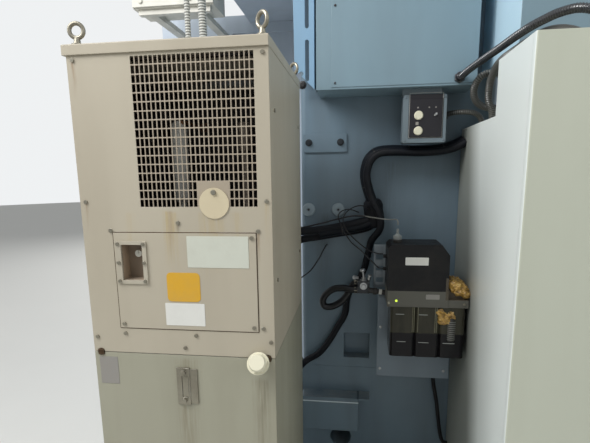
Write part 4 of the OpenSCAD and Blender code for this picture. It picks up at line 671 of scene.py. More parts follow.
def make_plastics(size):
    """The plastics, rubbers and blank labels; a conduit's rings follow its pitch in the panel."""
    plastic_finish(
        "black_housing", tint(11, 11, 14), gloss=0.42, marks=0.04, grain=0.35, edge=0.002,
        boxes=[(*PUMP_FLANGE, tint(98, 97, 90)), (*CONNECTOR_SIDE, tint(88, 80, 68))], shine=0.3)
    plastic_finish("black_plastic", tint(26, 26, 28), gloss=0.40, marks=0.08, grain=0.3)
    plastic_finish("white_plastic", tint(222, 222, 212), gloss=0.32, marks=0.10, grain=0.08, coat=0.3)
    plastic_finish("ivory_plastic", tint(226, 222, 198), gloss=0.34, marks=0.12, grain=0.08, coat=0.2)
    plastic_finish("red_plastic", tint(186, 34, 28), gloss=0.30, marks=0.08, grain=0.08, coat=0.4)
    plastic_finish("green_plastic", tint(40, 142, 74), gloss=0.30, marks=0.08, grain=0.08, coat=0.4)
    plastic_finish("orange_plastic", tint(206, 146, 44), gloss=0.34, marks=0.25, grain=0.2, coat=0.3)
    plastic_finish("rib_plastic", tint(112, 110, 88), gloss=0.3, marks=0.1, grain=0.05)
    plastic_finish("cartridge_plastic", tint(38, 38, 36), gloss=0.3, marks=0.1, grain=0.05)
    plastic_finish("sensor_plastic", tint(138, 144, 144), gloss=0.3, marks=0.1, grain=0.05, coat=0.3)
    plastic_finish("fan_plastic", tint(36, 36, 36), gloss=0.5, marks=0.3, grain=0.2)
    plastic_finish("key_caps", tint(206, 208, 204), gloss=0.42, marks=0.12, grain=0.12)
    plastic_finish("black_rubber", tint(15, 18, 25), gloss=0.52, marks=0.03, grain=0.25, shine=0.22)
    plastic_finish("line_tube", tint(16, 18, 23), gloss=0.30, marks=0.04, grain=0.05, coat=0.1, shine=0.3)
    plastic_finish("clear_line", tint(128, 130, 126), gloss=0.28, marks=0.15, grain=0.05, coat=0.3)
    plastic_finish("blank_label", tint(206, 209, 196), gloss=0.46, marks=0.12, grain=0.12)
    plastic_finish("blank_label_clean", tint(226, 226, 220), gloss=0.40, marks=0.08, grain=0.1)
    plastic_finish("yellow_label", tint(216, 166, 44), gloss=0.42, marks=0.16, grain=0.1)
    plastic_finish("grey_plate", tint(146, 143, 138), gloss=0.34, marks=0.30, grain=0.1)
    # Each conduit's second colour is painted shade in its valleys
    conduit_finish(
        "black_conduit", tint(27, 32, 40), tint(7, 8, 10), pitch=size.fine_pitch, gloss=0.18, coat=0.8)
    conduit_finish("pale_conduit", tint(206, 207, 200), tint(96, 98, 96), pitch=size.coarse_pitch, gloss=0.34)
    conduit_finish(
        "brown_conduit", tint(92, 93, 89), tint(26, 26, 25), pitch=size.fine_pitch, gloss=0.28, coat=0.4)


def make_finishes(scene):
    """Every finish of the machine."""
    make_paints(scene.machining_centre_colours)
    make_metals()
    make_plastics(scene.machining_centre_sizes)
    for build in (sleeve_finish, film_finish, oil_tank_finish, window_finish, screen_finish, lamp_finish):
        build()


# The finish of each solid
NODE_FINISH = {
    "bed": "casting_paint", "leveling_feet": "dark_steel", "column": "casting_paint",
    "column_fittings": "fittings_paint", "guide_rails": "machined_steel", "saddle": "casting_paint",
    "work_table": "machined_steel", "spindle_head": "casting_paint", "spindle": "machined_steel",
    "spindle_motor": "motor_paint", "axis_motors": "motor_paint", "z_ball_screw": "bright_screw",
    "y_ball_screw": "bright_screw", "x_ball_screw": "bright_screw", "chiller_tank": "tank_paint",
    "chiller_cabinet": "chiller_paint", "chiller_front_panel": "chiller_paint", "chiller_lid": "chiller_paint",
    "chiller_access_panel": "chiller_paint", "chiller_window_frame": "frame_plate",
    "thermostat_knob": "white_plastic", "swing_disc": "cream_sheet", "chiller_fan": "fan_plastic",
    "refrigeration_unit": "condenser_parts", "eyebolts": "plated_steel", "panel_screws": "plated_steel",
    "oil_filler_cap": "ivory_plastic", "oil_sight_gauge": "plated_steel", "relay_box": "relay_paint",
    "slotted_bracket": "pale_blue_paint", "switch_box": "switch_paint", "upper_push_button": "ivory_plastic",
    "lower_push_button": "ivory_plastic", "toggle_lever": "bright_screw", "lubricator_bracket": "bracket_paint",
    "lubricator_tank": "smoky_plastic", "lubricator_pump_head": "black_housing", "level_switch": "sensor_plastic",
    "hose_bundle": "black_rubber", "lubrication_lines": "line_tube", "cabinet_conduits": "black_conduit",
    "rear_conduits": "pale_conduit", "electrical_cabinet": "cabinet_paint", "cabinet_door": "cabinet_paint",
    "main_switch_handle": "red_plastic", "cabinet_components": "cabinet_parts", "service_box": "service_paint",
    "magazine_frame": "casting_paint", "tool_carousel": "tool_steel", "arm_shaft": "machined_steel",
    "tool_change_arm": "dark_steel", "guard_panels": "guard_paint", "front_guard": "front_paint",
    "front_door": "door_paint", "door_window": "clear_glass", "control_pendant": "pendant_paint",
    "emergency_stop": "red_plastic", "cycle_start_button": "green_plastic", "override_knob": "black_plastic",
    "junction_box": "white_paint",
}

# Modelling helpers

UP = (0, 0, 1)
DOWN = (0, 0, -1)
REARWARD = (0, -1, 0)
FORWARD = (0, 1, 0)
LEFTWARD = (-1, 0, 0)


def deselect():
    """Nothing selected, in object mode."""
    if bpy.context.mode != "OBJECT":
        bpy.ops.object.mode_set(mode="OBJECT")
    bpy.ops.object.select_all(action="DESELECT")


def pick(*objects):
    """Only these selected, the first one active."""
    deselect()
    for item in objects:
        item.select_set(True)
    bpy.context.view_layer.objects.active = objects[0]


def open_mesh():
    """Edit mode, with the whole mesh selected."""
    bpy.ops.object.mode_set(mode="EDIT")
    bpy.ops.mesh.select_all(action="SELECT")


def close_mesh():
    """Back to object mode."""
    bpy.ops.object.mode_set(mode="OBJECT")


def settle(item):
    """Puts the place of an object into its mesh."""
    pick(item)
    bpy.ops.object.transform_apply(location=True, rotation=True, scale=True)
    return item


def dress(item, name, finish, body="machine", smooth=True):
    """Names, paints and hangs a finished piece."""
    item.name = name
    item.data.name = name
    item.data.materials.clear()
    item.data.materials.append(FINISH[finish])
    settle(item)
    if smooth:
        bpy.ops.object.shade_smooth_by_angle(angle=math.radians(32))
    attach(item, body)
    return item


def merge(items):
    """Joins several parts into one."""
    pick(*items)
    if len(items) > 1:
        bpy.ops.object.join()
    return bpy.context.object


def aim(item, place, direction):
    """Moves a part made on the Z axis to a place, pointing along a direction."""
    turn = Vector(UP).rotation_difference(Vector(direction).normalized())
    item.matrix_world = Matrix.Translation(Vector(place)) @ turn.to_matrix().to_4x4()
    return settle(item)


def scatter(source, places):
    """Copies one part to each (place, direction), each copy with its own mesh, and joins the copies."""
    copies = []
    for place, direction in places:
        copy = source.copy()
        copy.data = source.data.copy()
        bpy.context.scene.collection.objects.link(copy)
        copies.append(aim(copy, place, direction))
    bpy.data.objects.remove(source)
    return merge(copies)


def slab(low, high, edge=0.0, segments=2):
    """A block between two corners with rounded edges."""
    deselect()
    bpy.ops.mesh.primitive_cube_add(size=1, location=[(a + b) / 2 for a, b in zip(low, high)])
    item = bpy.context.object
    item.scale = [b - a for a, b in zip(low, high)]
    settle(item)
    if edge:
        open_mesh()
        bpy.ops.mesh.bevel(offset=edge, segments=segments, affect="EDGES")
        close_mesh()
    return item


def thicken(item, thick, side=-1.0):
    """Gives a sheet its thickness; -1 grows away from the way it faces."""
    pick(item)
    wall = item.modifiers.new("wall", "SOLIDIFY")
    wall.thickness = thick
    wall.offset = side
    bpy.ops.object.modifier_apply(modifier="wall")
    return item


def upright_sheet(low, high, y, turn):
    """A flat rectangle in an upright plane, from (x, z) to (x, z), turned a quarter about X to face either way."""
    deselect()
    middle = ((low[0] + high[0]) / 2, y, (low[1] + high[1]) / 2)
    bpy.ops.mesh.primitive_plane_add(size=1, location=middle, rotation=(turn, 0, 0))
    item = bpy.context.object
    item.scale = (high[0] - low[0], high[1] - low[1], 1)
    return settle(item)


def plate(low, high, front, thick, corner=0.004, segments=4):
    """An upright plate that faces the service side, from (x, z) to (x, z), with round corners."""
    item = upright_sheet(low, high, front, math.pi / 2)
    open_mesh()
    bpy.ops.mesh.bevel(offset=corner, segments=segments, affect="VERTICES")
    close_mesh()
    return thicken(item, thick)


def frame_strip(low, high, y, width, thick, facing=1, rounded=True):
    """A flat rectangular frame in an upright plane, from (x, z) to (x, z)."""
    item = upright_sheet(low, high, y, -facing * math.pi / 2)
    open_mesh()
    if rounded:
        bpy.ops.mesh.bevel(offset=width * 0.9, segments=4, affect="VERTICES")
    bpy.ops.mesh.inset(thickness=width)
    bpy.ops.mesh.delete(type="FACE")
    close_mesh()
    return thicken(item, thick, 1.0 if rounded else 0.0)


def turned(profile, sides=32):
    """A closed round part on the Z axis, extruded ring by ring through (radius, height) steps."""
    deselect()
    radius, height = profile[0]
    bpy.ops.mesh.primitive_circle_add(
        vertices=sides, radius=radius, fill_type="NGON", location=(0, 0, height))
    item = bpy.context.object
    open_mesh()
    for new_radius, new_height in profile[1:]:
        bpy.ops.mesh.extrude_region_move(TRANSFORM_OT_translate={"value": (0, 0, new_height - height)})
        share = new_radius / radius
        bpy.ops.transform.resize(value=(share, share, 1), center_override=(0, 0, new_height))
        radius, height = new_radius, new_height
    bpy.ops.mesh.select_all(action="SELECT")
    bpy.ops.mesh.remove_doubles(threshold=0.00001)
    bpy.ops.mesh.normals_make_consistent(inside=False)
    close_mesh()
    return settle(item)


def bolt(size, height, washer=True):
    """A hexagon head on its washer, facing up the Z axis."""
    head = turned([(size, 0.0), (size, height * 0.82), (size * 0.86, height)], 6)
    if not washer:
        return head
    ring = turned([(size * 1.55, 0.0), (size * 1.55, height * 0.16), (size * 1.45, height * 0.22)], 24)
    return merge([head, ring])


def pan_screw(size):
    """A pan head with a recess pressed into it."""
    profile = [(1.0, 0.0), (1.0, 0.25), (0.8, 0.5), (0.3, 0.6), (0.2, 0.3)]
    return turned([(size * radius, size * height) for radius, height in profile], 16)


def gland(radius):
    """A hexagonal nut and its cone, where a hose enters a wall."""
    nut = turned([(radius * 1.55, 0.0), (radius * 1.55, radius * 0.7), (radius * 1.4, radius * 0.8)], 6)
    cone = turned(
        [(radius * 1.3, radius * 0.7), (radius * 1.3, radius * 1.5), (radius * 1.06, radius * 1.9)], 24)
    return merge([nut, cone])


def crumple(item, kind, amount, scale):
    """Moves a mesh's points in and out like creased film."""
    texture = bpy.data.textures.new("creases", kind)
    texture.noise_scale = 1.0 / scale
    shape = item.modifiers.new("creases", "DISPLACE")
    shape.texture = texture
    shape.texture_coords = "GLOBAL"
    shape.strength = amount
    shape.mid_level = 0.5
    pick(item)
    bpy.ops.object.modifier_apply(modifier="creases")


# Hoses


def smooth_route(points, steps):
    """Points on a smooth curve through the given ones."""
    out = []
    last = len(points) - 1
    knots = [Vector(p) for p in points]
    for i in range(last):
        a, b, c, d = knots[max(i - 1, 0)], knots[i], knots[i + 1], knots[min(i + 2, last)]
        square, cube = 2 * a - 5 * b + 4 * c - d, 3 * b - a - 3 * c + d
        for k in range(steps):
            t = k / steps
            out.append(0.5 * (2 * b + (c - a) * t + square * t * t + cube * t ** 3))
    out.append(knots[-1])
    return out


def even_route(points, step):
    """The same curve in equal steps."""
    fine = smooth_route(points, 24)
    out, carried = [fine[0]], 0.0
    for a, b in zip(fine, fine[1:]):
        span = (b - a).length
        while carried + span >= step:
            share = (step - carried) / span
            a = a.lerp(b, share)
            span = (b - a).length
            out.append(a.copy())
            carried = 0.0
        carried += span
    if (out[-1] - fine[-1]).length > step * 0.3:
        out.append(fine[-1])
    else:
        out[-1] = fine[-1]
    return out


def hose_tube(points, radius, step=0.008, sides=14, ripple=0.0, depth=1.0):
    """A closed tube along a route; a corrugated one has two high rings and two low ones in turn, and depth stretches
    its section off the wall."""
    line = even_route(points, step)
    verts, faces, uvs = [], [], []
    tangent = (line[1] - line[0]).normalized()
    side = tangent.orthogonal().normalized()
    for i, spot in enumerate(line):
        before = line[max(i - 1, 0)]
        after = line[min(i + 1, len(line) - 1)]
        new_tangent = (after - before).normalized()
        side = tangent.rotation_difference(new_tangent) @ side
        tangent = new_tangent
        side = (side - tangent * side.dot(tangent)).normalized()
        up = tangent.cross(side)
        ring = radius - (ripple if i % 4 > 1 else 0.0)
        for k in range(sides):
            turn = 2 * math.pi * k / sides
            reach = (side * math.cos(turn) + up * math.sin(turn)) * ring
            reach.y *= depth
            verts.append(spot + reach)
    count = len(line)
    for i in range(count - 1):
        for k in range(sides):
            corners = ((i, k), (i, k + 1), (i + 1, k + 1), (i + 1, k))
            faces.append([row * sides + place % sides for row, place in corners])
            uvs.extend((place / sides, row * step) for row, place in corners)
    faces.append(tuple(reversed(range(sides))))
    faces.append(tuple(range((count - 1) * sides, count * sides)))
    mesh = bpy.data.meshes.new("tube")
    mesh.from_pydata([tuple(v) for v in verts], [], faces)
    layer = mesh.uv_layers.new(name="UVMap")
    for spot, uv in enumerate(uvs):
        layer.data[spot].uv = uv
    item = bpy.data.objects.new("tube", mesh)
    bpy.context.scene.collection.objects.link(item)
    pick(item)
    open_mesh()
    bpy.ops.mesh.normals_make_consistent(inside=False)
    close_mesh()
    return item


def millimetres(*points):
    """Points given in millimetres, in metres."""
    return [tuple(value / 1000 for value in point) for point in points]


# The hoses' routes, as the solids have them
OIL_SUPPLY = millimetres(
    (-455, -986, 1085), (-452, -872, 1088), (-405, -756, 1100), (-317, -739, 1114), (-225, -739, 1130),
    (-150, -739, 1143), (-98, -739, 1160), (-78, -739, 1200), (-94, -739, 1268), (-109, -739, 1310),
    (-123, -739, 1363), (-124, -739, 1406), (-109, -739, 1450), (-74, -739, 1478), (-13, -739, 1484),
    (91, -739, 1480), (180, -739, 1484), (226, -739, 1496), (272, -739, 1512))
OIL_RETURN = millimetres(
    (-455, -986, 1150), (-452, -892, 1150), (-405, -794, 1142), (-317, -780, 1148), (-225, -780, 1164),
    (-150, -780, 1180), (-104, -780, 1196), (-84, -780, 1225), (-90, -780, 1266), (-105, -780, 1308),
    (-119, -780, 1361), (-120, -780, 1404), (-105, -780, 1448), (-70, -780, 1476), (-9, -780, 1482),
    (95, -780, 1478), (184, -780, 1482), (230, -780, 1494), (272, -780, 1518))
PUMP_HOSE = millimetres(
    (-450, -986, 470), (-440, -852, 478), (-395, -746, 511), (-325, -742, 559), (-277, -742, 623), (-240, -742, 690),
    (-205, -742, 756), (-198, -742, 820), (-180, -742, 872), (-145, -742, 915), (-118, -742, 980),
    (-104, -752, 1045), (-92, -774, 1100), (-58, -820, 1160), (-62, -824, 1215), (-88, -822, 1270),
    (-101, -816, 1302), (-115, -816, 1355), (-116, -816, 1398), (-101, -816, 1442), (-66, -816, 1470),
    (-5, -816, 1476), (99, -816, 1472), (188, -816, 1476), (234, -816, 1488), (272, -816, 1508))
LOOP_HOSE = millimetres(
    (-150, -868, 903), (-182, -864, 904), (-211, -858, 907), (-252, -852, 900), (-287, -846, 872),
    (-300, -842, 840), (-287, -840, 817), (-250, -840, 822), (-210, -842, 851), (-184, -844, 890),
    (-170, -846, 918), (-150, -846, 928))
THIN_LOOP = millimetres(
    (-150, -714, 1222), (-150, -772, 1224), (-152, -810, 1228), (-172, -820, 1237), (-197, -822, 1241),
    (-226, -830, 1230), (-234, -834, 1208), (-222, -836, 1177), (-208, -838, 1147), (-178, -840, 1103),
    (-135, -862, 1070), (-92, -917, 1036), (-68, -945, 1018), (-50, -947, 1015))
SECOND_LOOP = millimetres(
    (-96, -800, 1232), (-118, -812, 1250), (-146, -818, 1256), (-178, -822, 1246), (-206, -826, 1222),
    (-214, -830, 1190), (-196, -834, 1150), (-160, -838, 1112), (-118, -850, 1080), (-80, -880, 1066),
    (-50, -905, 1066))
DROP_LINE = millimetres(
    (-288, -714, 1072), (-290, -762, 1078), (-296, -784, 1068), (-308, -782, 1045), (-326, -778, 1012),
    (-360, -776, 963), (-402, -782, 930), (-440, -862, 905), (-450, -986, 900))
POWER_CORD = millimetres(
    (186, -879, 640), (186, -852, 628), (188, -817, 580), (190, -796, 480), (215, -772, 350), (234, -762, 220),
    (250, -760, 158), (272, -760, 150))
DARK_LINE = millimetres(
    (-470, -986, 1195), (-460, -892, 1190), (-400, -834, 1165), (-314, -828, 1180), (-241, -824, 1199),
    (-170, -828, 1214), (-120, -842, 1213))
CAP_LINE = millimetres(
    (-120, -842, 1213), (-74, -862, 1208), (-30, -902, 1206), (-4, -957, 1212), (2, -971, 1205), (2, -971, 1192))
TOP_RUN = millimetres(
    (215, -914, 1734), (222, -944, 1740), (236, -980, 1751), (268, -1050, 1770), (295, -1120, 1784),
    (318, -1190, 1797), (340, -1250, 1807), (365, -1290, 1815), (389, -1330, 1819), (425, -1372, 1815),
    (470, -1402, 1790), (505, -1412, 1755), (510, -1412, 1729))
UPPER_LOOP = millimetres(
    (338, -926, 1564), (334, -926, 1610), (318, -934, 1650), (310, -970, 1702), (309, -1030, 1738),
    (311, -1090, 1752), (318, -1152, 1758), (352, -1220, 1777), (380, -1260, 1789), (410, -1312, 1780),
    (440, -1352, 1755), (446, -1356, 1729))
LOWER_LOOP = millimetres(
    (410, -862, 1564), (402, -862, 1600), (365, -862, 1628), (320, -868, 1634), (284, -888, 1655),
    (268, -917, 1690), (276, -947, 1722), (300, -958, 1738), (340, -958, 1738), (370, -955, 1748), (374, -954, 1765))
PALE_HOSE = millimetres(
    (198, -714, 1618), (199, -772, 1619), (208, -812, 1620), (240, -832, 1622), (290, -830, 1618),
    (322, -812, 1600), (330, -810, 1564))
SMALL_CONDUIT = millimetres(
    (-835, -986, 1500), (-835, -902, 1508), (-835, -882, 1560), (-835, -880, 1700), (-835, -880, 2150),
    (-840, -872, 2240), (-885, -772, 2286), (-925, -608, 2290))
LARGE_CONDUIT = millimetres(
    (-773, -986, 1450), (-773, -904, 1460), (-773, -882, 1530), (-773, -880, 1700), (-773, -880, 2150),
    (-778, -872, 2232), (-820, -772, 2272), (-862, -608, 2280))

# Each line's route, outer radius, step and sides
BLACK_LINES = (
    (LOOP_HOSE, 0.0150, 0.006, 14), (THIN_LOOP, 0.0026, 0.008, 8), (SECOND_LOOP, 0.0026, 0.008, 8),
    (DROP_LINE, 0.0030, 0.008, 8), (DARK_LINE, 0.0034, 0.008, 8), (POWER_CORD, 0.0088, 0.010, 12))
PUMP_HOSE_RADIUS = 0.0150
CAP_LINE_RADIUS = 0.0026

# Each corrugated run's route, outer radius, sides and depth of its rings
TOP_CONDUIT = ((TOP_RUN, 0.0129, 16, 0.0015),)
CONDUIT_LOOPS = (
    (UPPER_LOOP, 0.0129, 16, 0.0015), (LOWER_LOOP, 0.0129, 16, 0.0015), (PALE_HOSE, 0.0105, 14, 0.0012))
REAR_CONDUITS = ((SMALL_CONDUIT, 0.0119, 16, 0.0018), (LARGE_CONDUIT, 0.0164, 20, 0.0022))

# The woven sleeve and its ties, stretched off the wall, as they hold two hoses side by side
SLEEVE_RADIUS = 0.0225
TIE_RADIUS = 0.0238
TIE_HALF = 0.0025
SLEEVE_DEPTH = 1.72

# Glands of one size: where each hose ends, the way the gland points, and how far its foot is sunk against that
SUNK = 0.002
GLANDS = {
    0.0168: ((OIL_SUPPLY[0], FORWARD, SUNK), (OIL_RETURN[0], FORWARD, SUNK)),
    0.0130: ((PUMP_HOSE[0], FORWARD, SUNK), (TOP_RUN[-1], UP, 0.0), (UPPER_LOOP[-1], UP, 0.0),
             (LOWER_LOOP[-1], DOWN, 0.0), (TOP_RUN[0], (0, -1, 0.2), 0.0)),
    0.0165: ((LARGE_CONDUIT[0], FORWARD, SUNK), (LARGE_CONDUIT[-1], REARWARD, -SUNK)),
    0.0120: ((SMALL_CONDUIT[0], FORWARD, SUNK), (SMALL_CONDUIT[-1], REARWARD, -SUNK),
             (PALE_HOSE[0], REARWARD, SUNK)),
}


# Settings


def enamel(name, description, *colour):
    """A colour setting, from a screen colour."""
    return bpy.props.FloatVectorProperty(
        name=name, description=description, subtype="COLOR", size=3, min=0.0, max=1.0, default=tint(*colour)[:3])


def length(name, description, default, low, high):
    """A setting in metres."""
    return bpy.props.FloatProperty(
        name=name, description=description, subtype="DISTANCE", default=default, min=low, max=high)


def watts(name, description, default):
    """A lamp's power."""
    return bpy.props.FloatProperty(
        name=name, description=description, subtype="POWER", default=default, min=0.0)


class MachiningCentreColours(bpy.types.PropertyGroup):
    """Paint colours of the machine, in linear light."""

    casting: enamel("Casting", "Blue-grey enamel of the column, bed and head", 112, 132, 146)
    # Painted lighter than the casting's blue-grey: the same enamel with painted light
    bracket: enamel("Slotted bracket", "Light blue enamel of the slotted plate", 142, 178, 206)
    # Painted lighter than the casting's blue-grey: the same enamel with painted light
    relay_box: enamel("Relay box", "Grey-blue enamel of the relay and service boxes", 126, 150, 162)
    chiller: enamel("Oil chiller", "Cream-grey enamel of the oil chiller", 183, 175, 157)
    tank: enamel("Oil tank", "Greenish cream enamel of the oil tank", 162, 160, 142)
    cabinet: enamel("Electrical cabinet", "Pale cream enamel of the electrical cabinet", 196, 200, 184)
    guard: enamel("Side guards", "Lilac-grey enamel of the side and rear guards", 188, 200, 214)
    front: enamel("Front guard", "Off-white enamel of the front guard", 206, 208, 204)
    door: enamel("Front door", "Blue-grey enamel of the sliding door", 128, 150, 168)


class MachiningCentreSizes(bpy.types.PropertyGroup):
    """Sizes of what the dressing adds."""

    oil_hose: length("Oil hose radius", "Outer radius of the two oil hoses", 0.0168, 0.01, 0.017)
    fine_pitch: length(
        "Fine corrugation", "Distance between two ridges of a black conduit", 0.0072, 0.005, 0.012)
    coarse_pitch: length(
        "Coarse corrugation", "Distance between two ridges of a pale conduit", 0.0104, 0.006, 0.016)
    label: length("Label thickness", "How far a blank label stands proud", 0.0007, 0.0004, 0.002)
    ties: bpy.props.IntProperty(
        name="Hose ties", description="Number of ties round the hose bundle", default=6, min=3, max=16)


class MachiningCentreStage(bpy.types.PropertyGroup):
    """The plain studio round the machine."""

    key: watts("Key lamp", "Power of the large lamp on the left", 122.0)
    fill: watts("Fill lamp", "Power of the lamp on the right", 54.0)
    window: watts("Window lamp", "Power of the lamp above the chiller", 60.0)
    sky: bpy.props.FloatProperty(
        name="Soft light", description="Strength of the even light from all round", default=0.36, min=0.0)
    floor: enamel("Floor", "Colour of the floor", 214, 214, 210)


# Operators

# The camera, as fitted to the photograph: place, turn in degrees, lens in millimetres and shift
CAMERA_PLACE = (-0.150, -2.762, 1.400)
CAMERA_YAW, CAMERA_PITCH, CAMERA_ROLL = 8.0, 10.6, 0.75
CAMERA_LENS = 27.76
CAMERA_SHIFT = 0.06

# Each lamp's place, what it is aimed at, its width, the setting of its power and its share of that
LAMPS = {
    "key_lamp": ((-5.0, -3.8, 4.2), (0.2, -1.1, 1.1), 2.0, "key", 1.0),
    "window_lamp": ((-1.7, -2.6, 3.5), (0.27, -1.25, 1.1), 1.4, "window", 1.0),
    "fill_lamp": ((4.2, -4.2, 3.2), (-0.2, -0.8, 1.2), 3.4, "fill", 1.0),
    "front_lamp": ((-2.8, 6.4, 4.8), (0.0, 1.0, 1.1), 3.4, "key", 2.0),
    "front_fill": ((4.6, 4.0, 3.4), (0.2, 0.8, 1.2), 3.4, "fill", 1.0),
}


class CentreStage(bpy.types.Operator):
    """Makes the camera, the lamps, the world and the floor"""

    bl_idname = "machining_centre.stage"
    bl_label = "Studio"

    def execute(self, context):
        scene = context.scene
        given = scene.machining_centre_stage
        scene.view_settings.view_transform = "Standard"
        self.camera(scene)
        for name, (place, target, size, setting, share) in LAMPS.items():
            self.lamp(name, place, target, size, getattr(given, setting) * share)
        self.world(scene, given.sky)
        self.floor(given.floor)
        return {"FINISHED"}

    def camera(self, scene):
        """The camera, turned by its yaw, pitch and roll."""
        yaw, pitch, roll = (math.radians(angle) for angle in (CAMERA_YAW, CAMERA_PITCH, CAMERA_ROLL))
        ahead = Vector((-math.sin(yaw) * math.cos(pitch), math.cos(yaw) * math.cos(pitch), -math.sin(pitch)))
        level = Vector((math.cos(yaw), math.sin(yaw), 0))
        up = level.cross(ahead)
        across = level * math.cos(roll) - up * math.sin(roll)
        top = up * math.cos(roll) + level * math.sin(roll)
        data = bpy.data.cameras.new("service_camera")
        data.lens = CAMERA_LENS
        data.sensor_width = 36
        data.shift_y = CAMERA_SHIFT
        data.clip_end = 100
        camera = bpy.data.objects.new("service_camera", data)
        scene.collection.objects.link(camera)
        turn = Matrix((across, top, -ahead)).transposed().to_4x4()
        camera.matrix_world = Matrix.Translation(CAMERA_PLACE) @ turn
        scene.camera = camera

    def lamp(self, name, place, target, size, power):
        """One large soft lamp aimed at a place."""
        data = bpy.data.lights.new(name, "AREA")
        data.shape = "SQUARE"
        data.size = size
        data.energy = power
        lamp = bpy.data.objects.new(name, data)
        bpy.context.scene.collection.objects.link(lamp)
        turn = (Vector(target) - Vector(place)).to_track_quat("-Z", "Y")
        lamp.matrix_world = Matrix.Translation(place) @ turn.to_matrix().to_4x4()

    def world(self, scene, strength):
        """Even light, and a plain white wall for the camera, through glass and, dimmer, in gloss."""
        world = bpy.data.worlds.new("studio")
        world.use_nodes = True
        tree = world.node_tree
        tree.nodes.clear()
        ray = put(tree, "ShaderNodeLightPath").outputs
        seen = plus(tree, ray["Is Camera Ray"], ray["Is Transmission Ray"], clamp=True)
        seen = plus(tree, seen, times(tree, ray["Is Glossy Ray"], 0.7), clamp=True)
        power = spread(tree, seen, 0.0, 1.0, strength, 0.93)
        back = put(tree, "ShaderNodeBackground", {"Color": (0.93, 0.95, 0.96, 1), "Strength": power})
        out = tree.nodes.new("ShaderNodeOutputWorld")
        tree.links.new(back.outputs[0], out.inputs[0])
        scene.world = world

    def floor(self, colour):
        """A wide pale floor with a faint trowelled pattern."""
        deselect()
        bpy.ops.mesh.primitive_circle_add(vertices=64, radius=24, fill_type="NGON", location=(0, 0, 0))
        item = bpy.context.object
        tree, shader = begin_finish("floor")
        drift = cloud(tree, own_place(tree), 1.3, 6.0, 0.6)
        pale = (*[min(1.0, value * 1.08) for value in colour], 1)
        wire(tree, shader.inputs["Base Color"], blend_colour(tree, drift, (*colour, 1), pale))
        wire(tree, shader.inputs["Roughness"], spread(tree, drift, 0.2, 0.8, 0.55, 0.75))
        item.name = "floor"
        item.data.materials.append(FINISH["floor"])


class CentreFinishes(bpy.types.Operator):
    """Paints every solid with its own finish"""

    bl_idname = "machining_centre.finishes"
    bl_label = "Finishes"

    def execute(self, context):
        make_groups()
        make_finishes(context.scene)
        for name, node in NODE.items():
            node.data.materials.clear()
            node.data.materials.append(FINISH[NODE_FINISH[name]])
        return {"FINISHED"}


class CentreHoses(bpy.types.Operator):
    """Makes the oil hoses, the lubrication lines, the conduits and their fittings"""

    bl_idname = "machining_centre.hoses"
    bl_label = "Hoses and conduits"

    def execute(self, context):
        given = context.scene.machining_centre_sizes
        oil = merge([hose_tube(OIL_SUPPLY, given.oil_hose), hose_tube(OIL_RETURN, given.oil_hose),
                     hose_tube(PUMP_HOSE, PUMP_HOSE_RADIUS)])
        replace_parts(dress(oil, "oil_hoses", "black_rubber"), "hose_bundle")
        lines = merge([hose_tube(*line) for line in BLACK_LINES])
        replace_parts(dress(lines, "black_lines", "line_tube"), "lubrication_lines")
        cap_line = hose_tube(CAP_LINE, CAP_LINE_RADIUS, sides=8)
        dress(cap_line, "clear_cap_line", "clear_line")
        run = self.corrugated(TOP_CONDUIT, given.fine_pitch)
        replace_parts(dress(run, "top_conduit", "black_conduit"), "cabinet_conduits")
        loops = self.corrugated(CONDUIT_LOOPS, given.fine_pitch)
        dress(loops, "conduit_loops", "brown_conduit")
        rear = self.corrugated(REAR_CONDUITS, given.coarse_pitch)
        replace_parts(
            dress(rear, "rear_corrugated_conduits", "pale_conduit"), "rear_conduits")
        self.sleeve(given.ties)
        self.glands()
        return {"FINISHED"}

    def corrugated(self, runs, pitch):
        """Corrugated tubes, each ring in four steps."""
        return merge([
            hose_tube(route, radius, pitch / 4, sides, ripple) for route, radius, sides, ripple in runs])

    def sleeve(self, count):
        """The woven sleeve over the two oil hoses, its taped joint and its ties."""
        pairs = list(zip(OIL_SUPPLY, OIL_RETURN))[3:]
        middle = [tuple((a + b) / 2 for a, b in zip(first, second)) for first, second in pairs]
        sleeve = hose_tube(middle, SLEEVE_RADIUS, 0.010, 24, depth=SLEEVE_DEPTH)
        dress(sleeve, "bundle_sleeve", "woven_sleeve")
        joint = turned([(0.030, -0.058), (0.039, -0.050), (0.043, -0.020), (0.041, 0.016), (0.0425, 0.036),
                        (0.037, 0.052), (0.030, 0.060)], 28)
        joint = aim(joint, (-0.084, -0.764, 1.218), (-0.12, -0.12, 1))
        dress(joint, "taped_joint", "black_rubber")
        route = even_route(middle, 0.01)
        bands = []
        for i in range(count):
            at = int((0.12 + 0.80 * i / (count - 1)) * (len(route) - 2))
            ahead = (route[at + 1] - route[at]).normalized() * TIE_HALF
            short = [route[at] - ahead, route[at], route[at] + ahead]
            bands.append(hose_tube(short, TIE_RADIUS, TIE_HALF, 24, depth=SLEEVE_DEPTH))
        dress(merge(bands), "hose_ties", "black_plastic")

    def glands(self):
        """Hexagonal glands where hoses and conduits enter a wall."""
        parts = []
        for radius, ends in GLANDS.items():
            places = [(Vector(end) - Vector(way).normalized() * sunk, way) for end, way, sunk in ends]
            parts.append(scatter(gland(radius), places))
        dress(merge(parts), "hose_glands", "dark_steel")


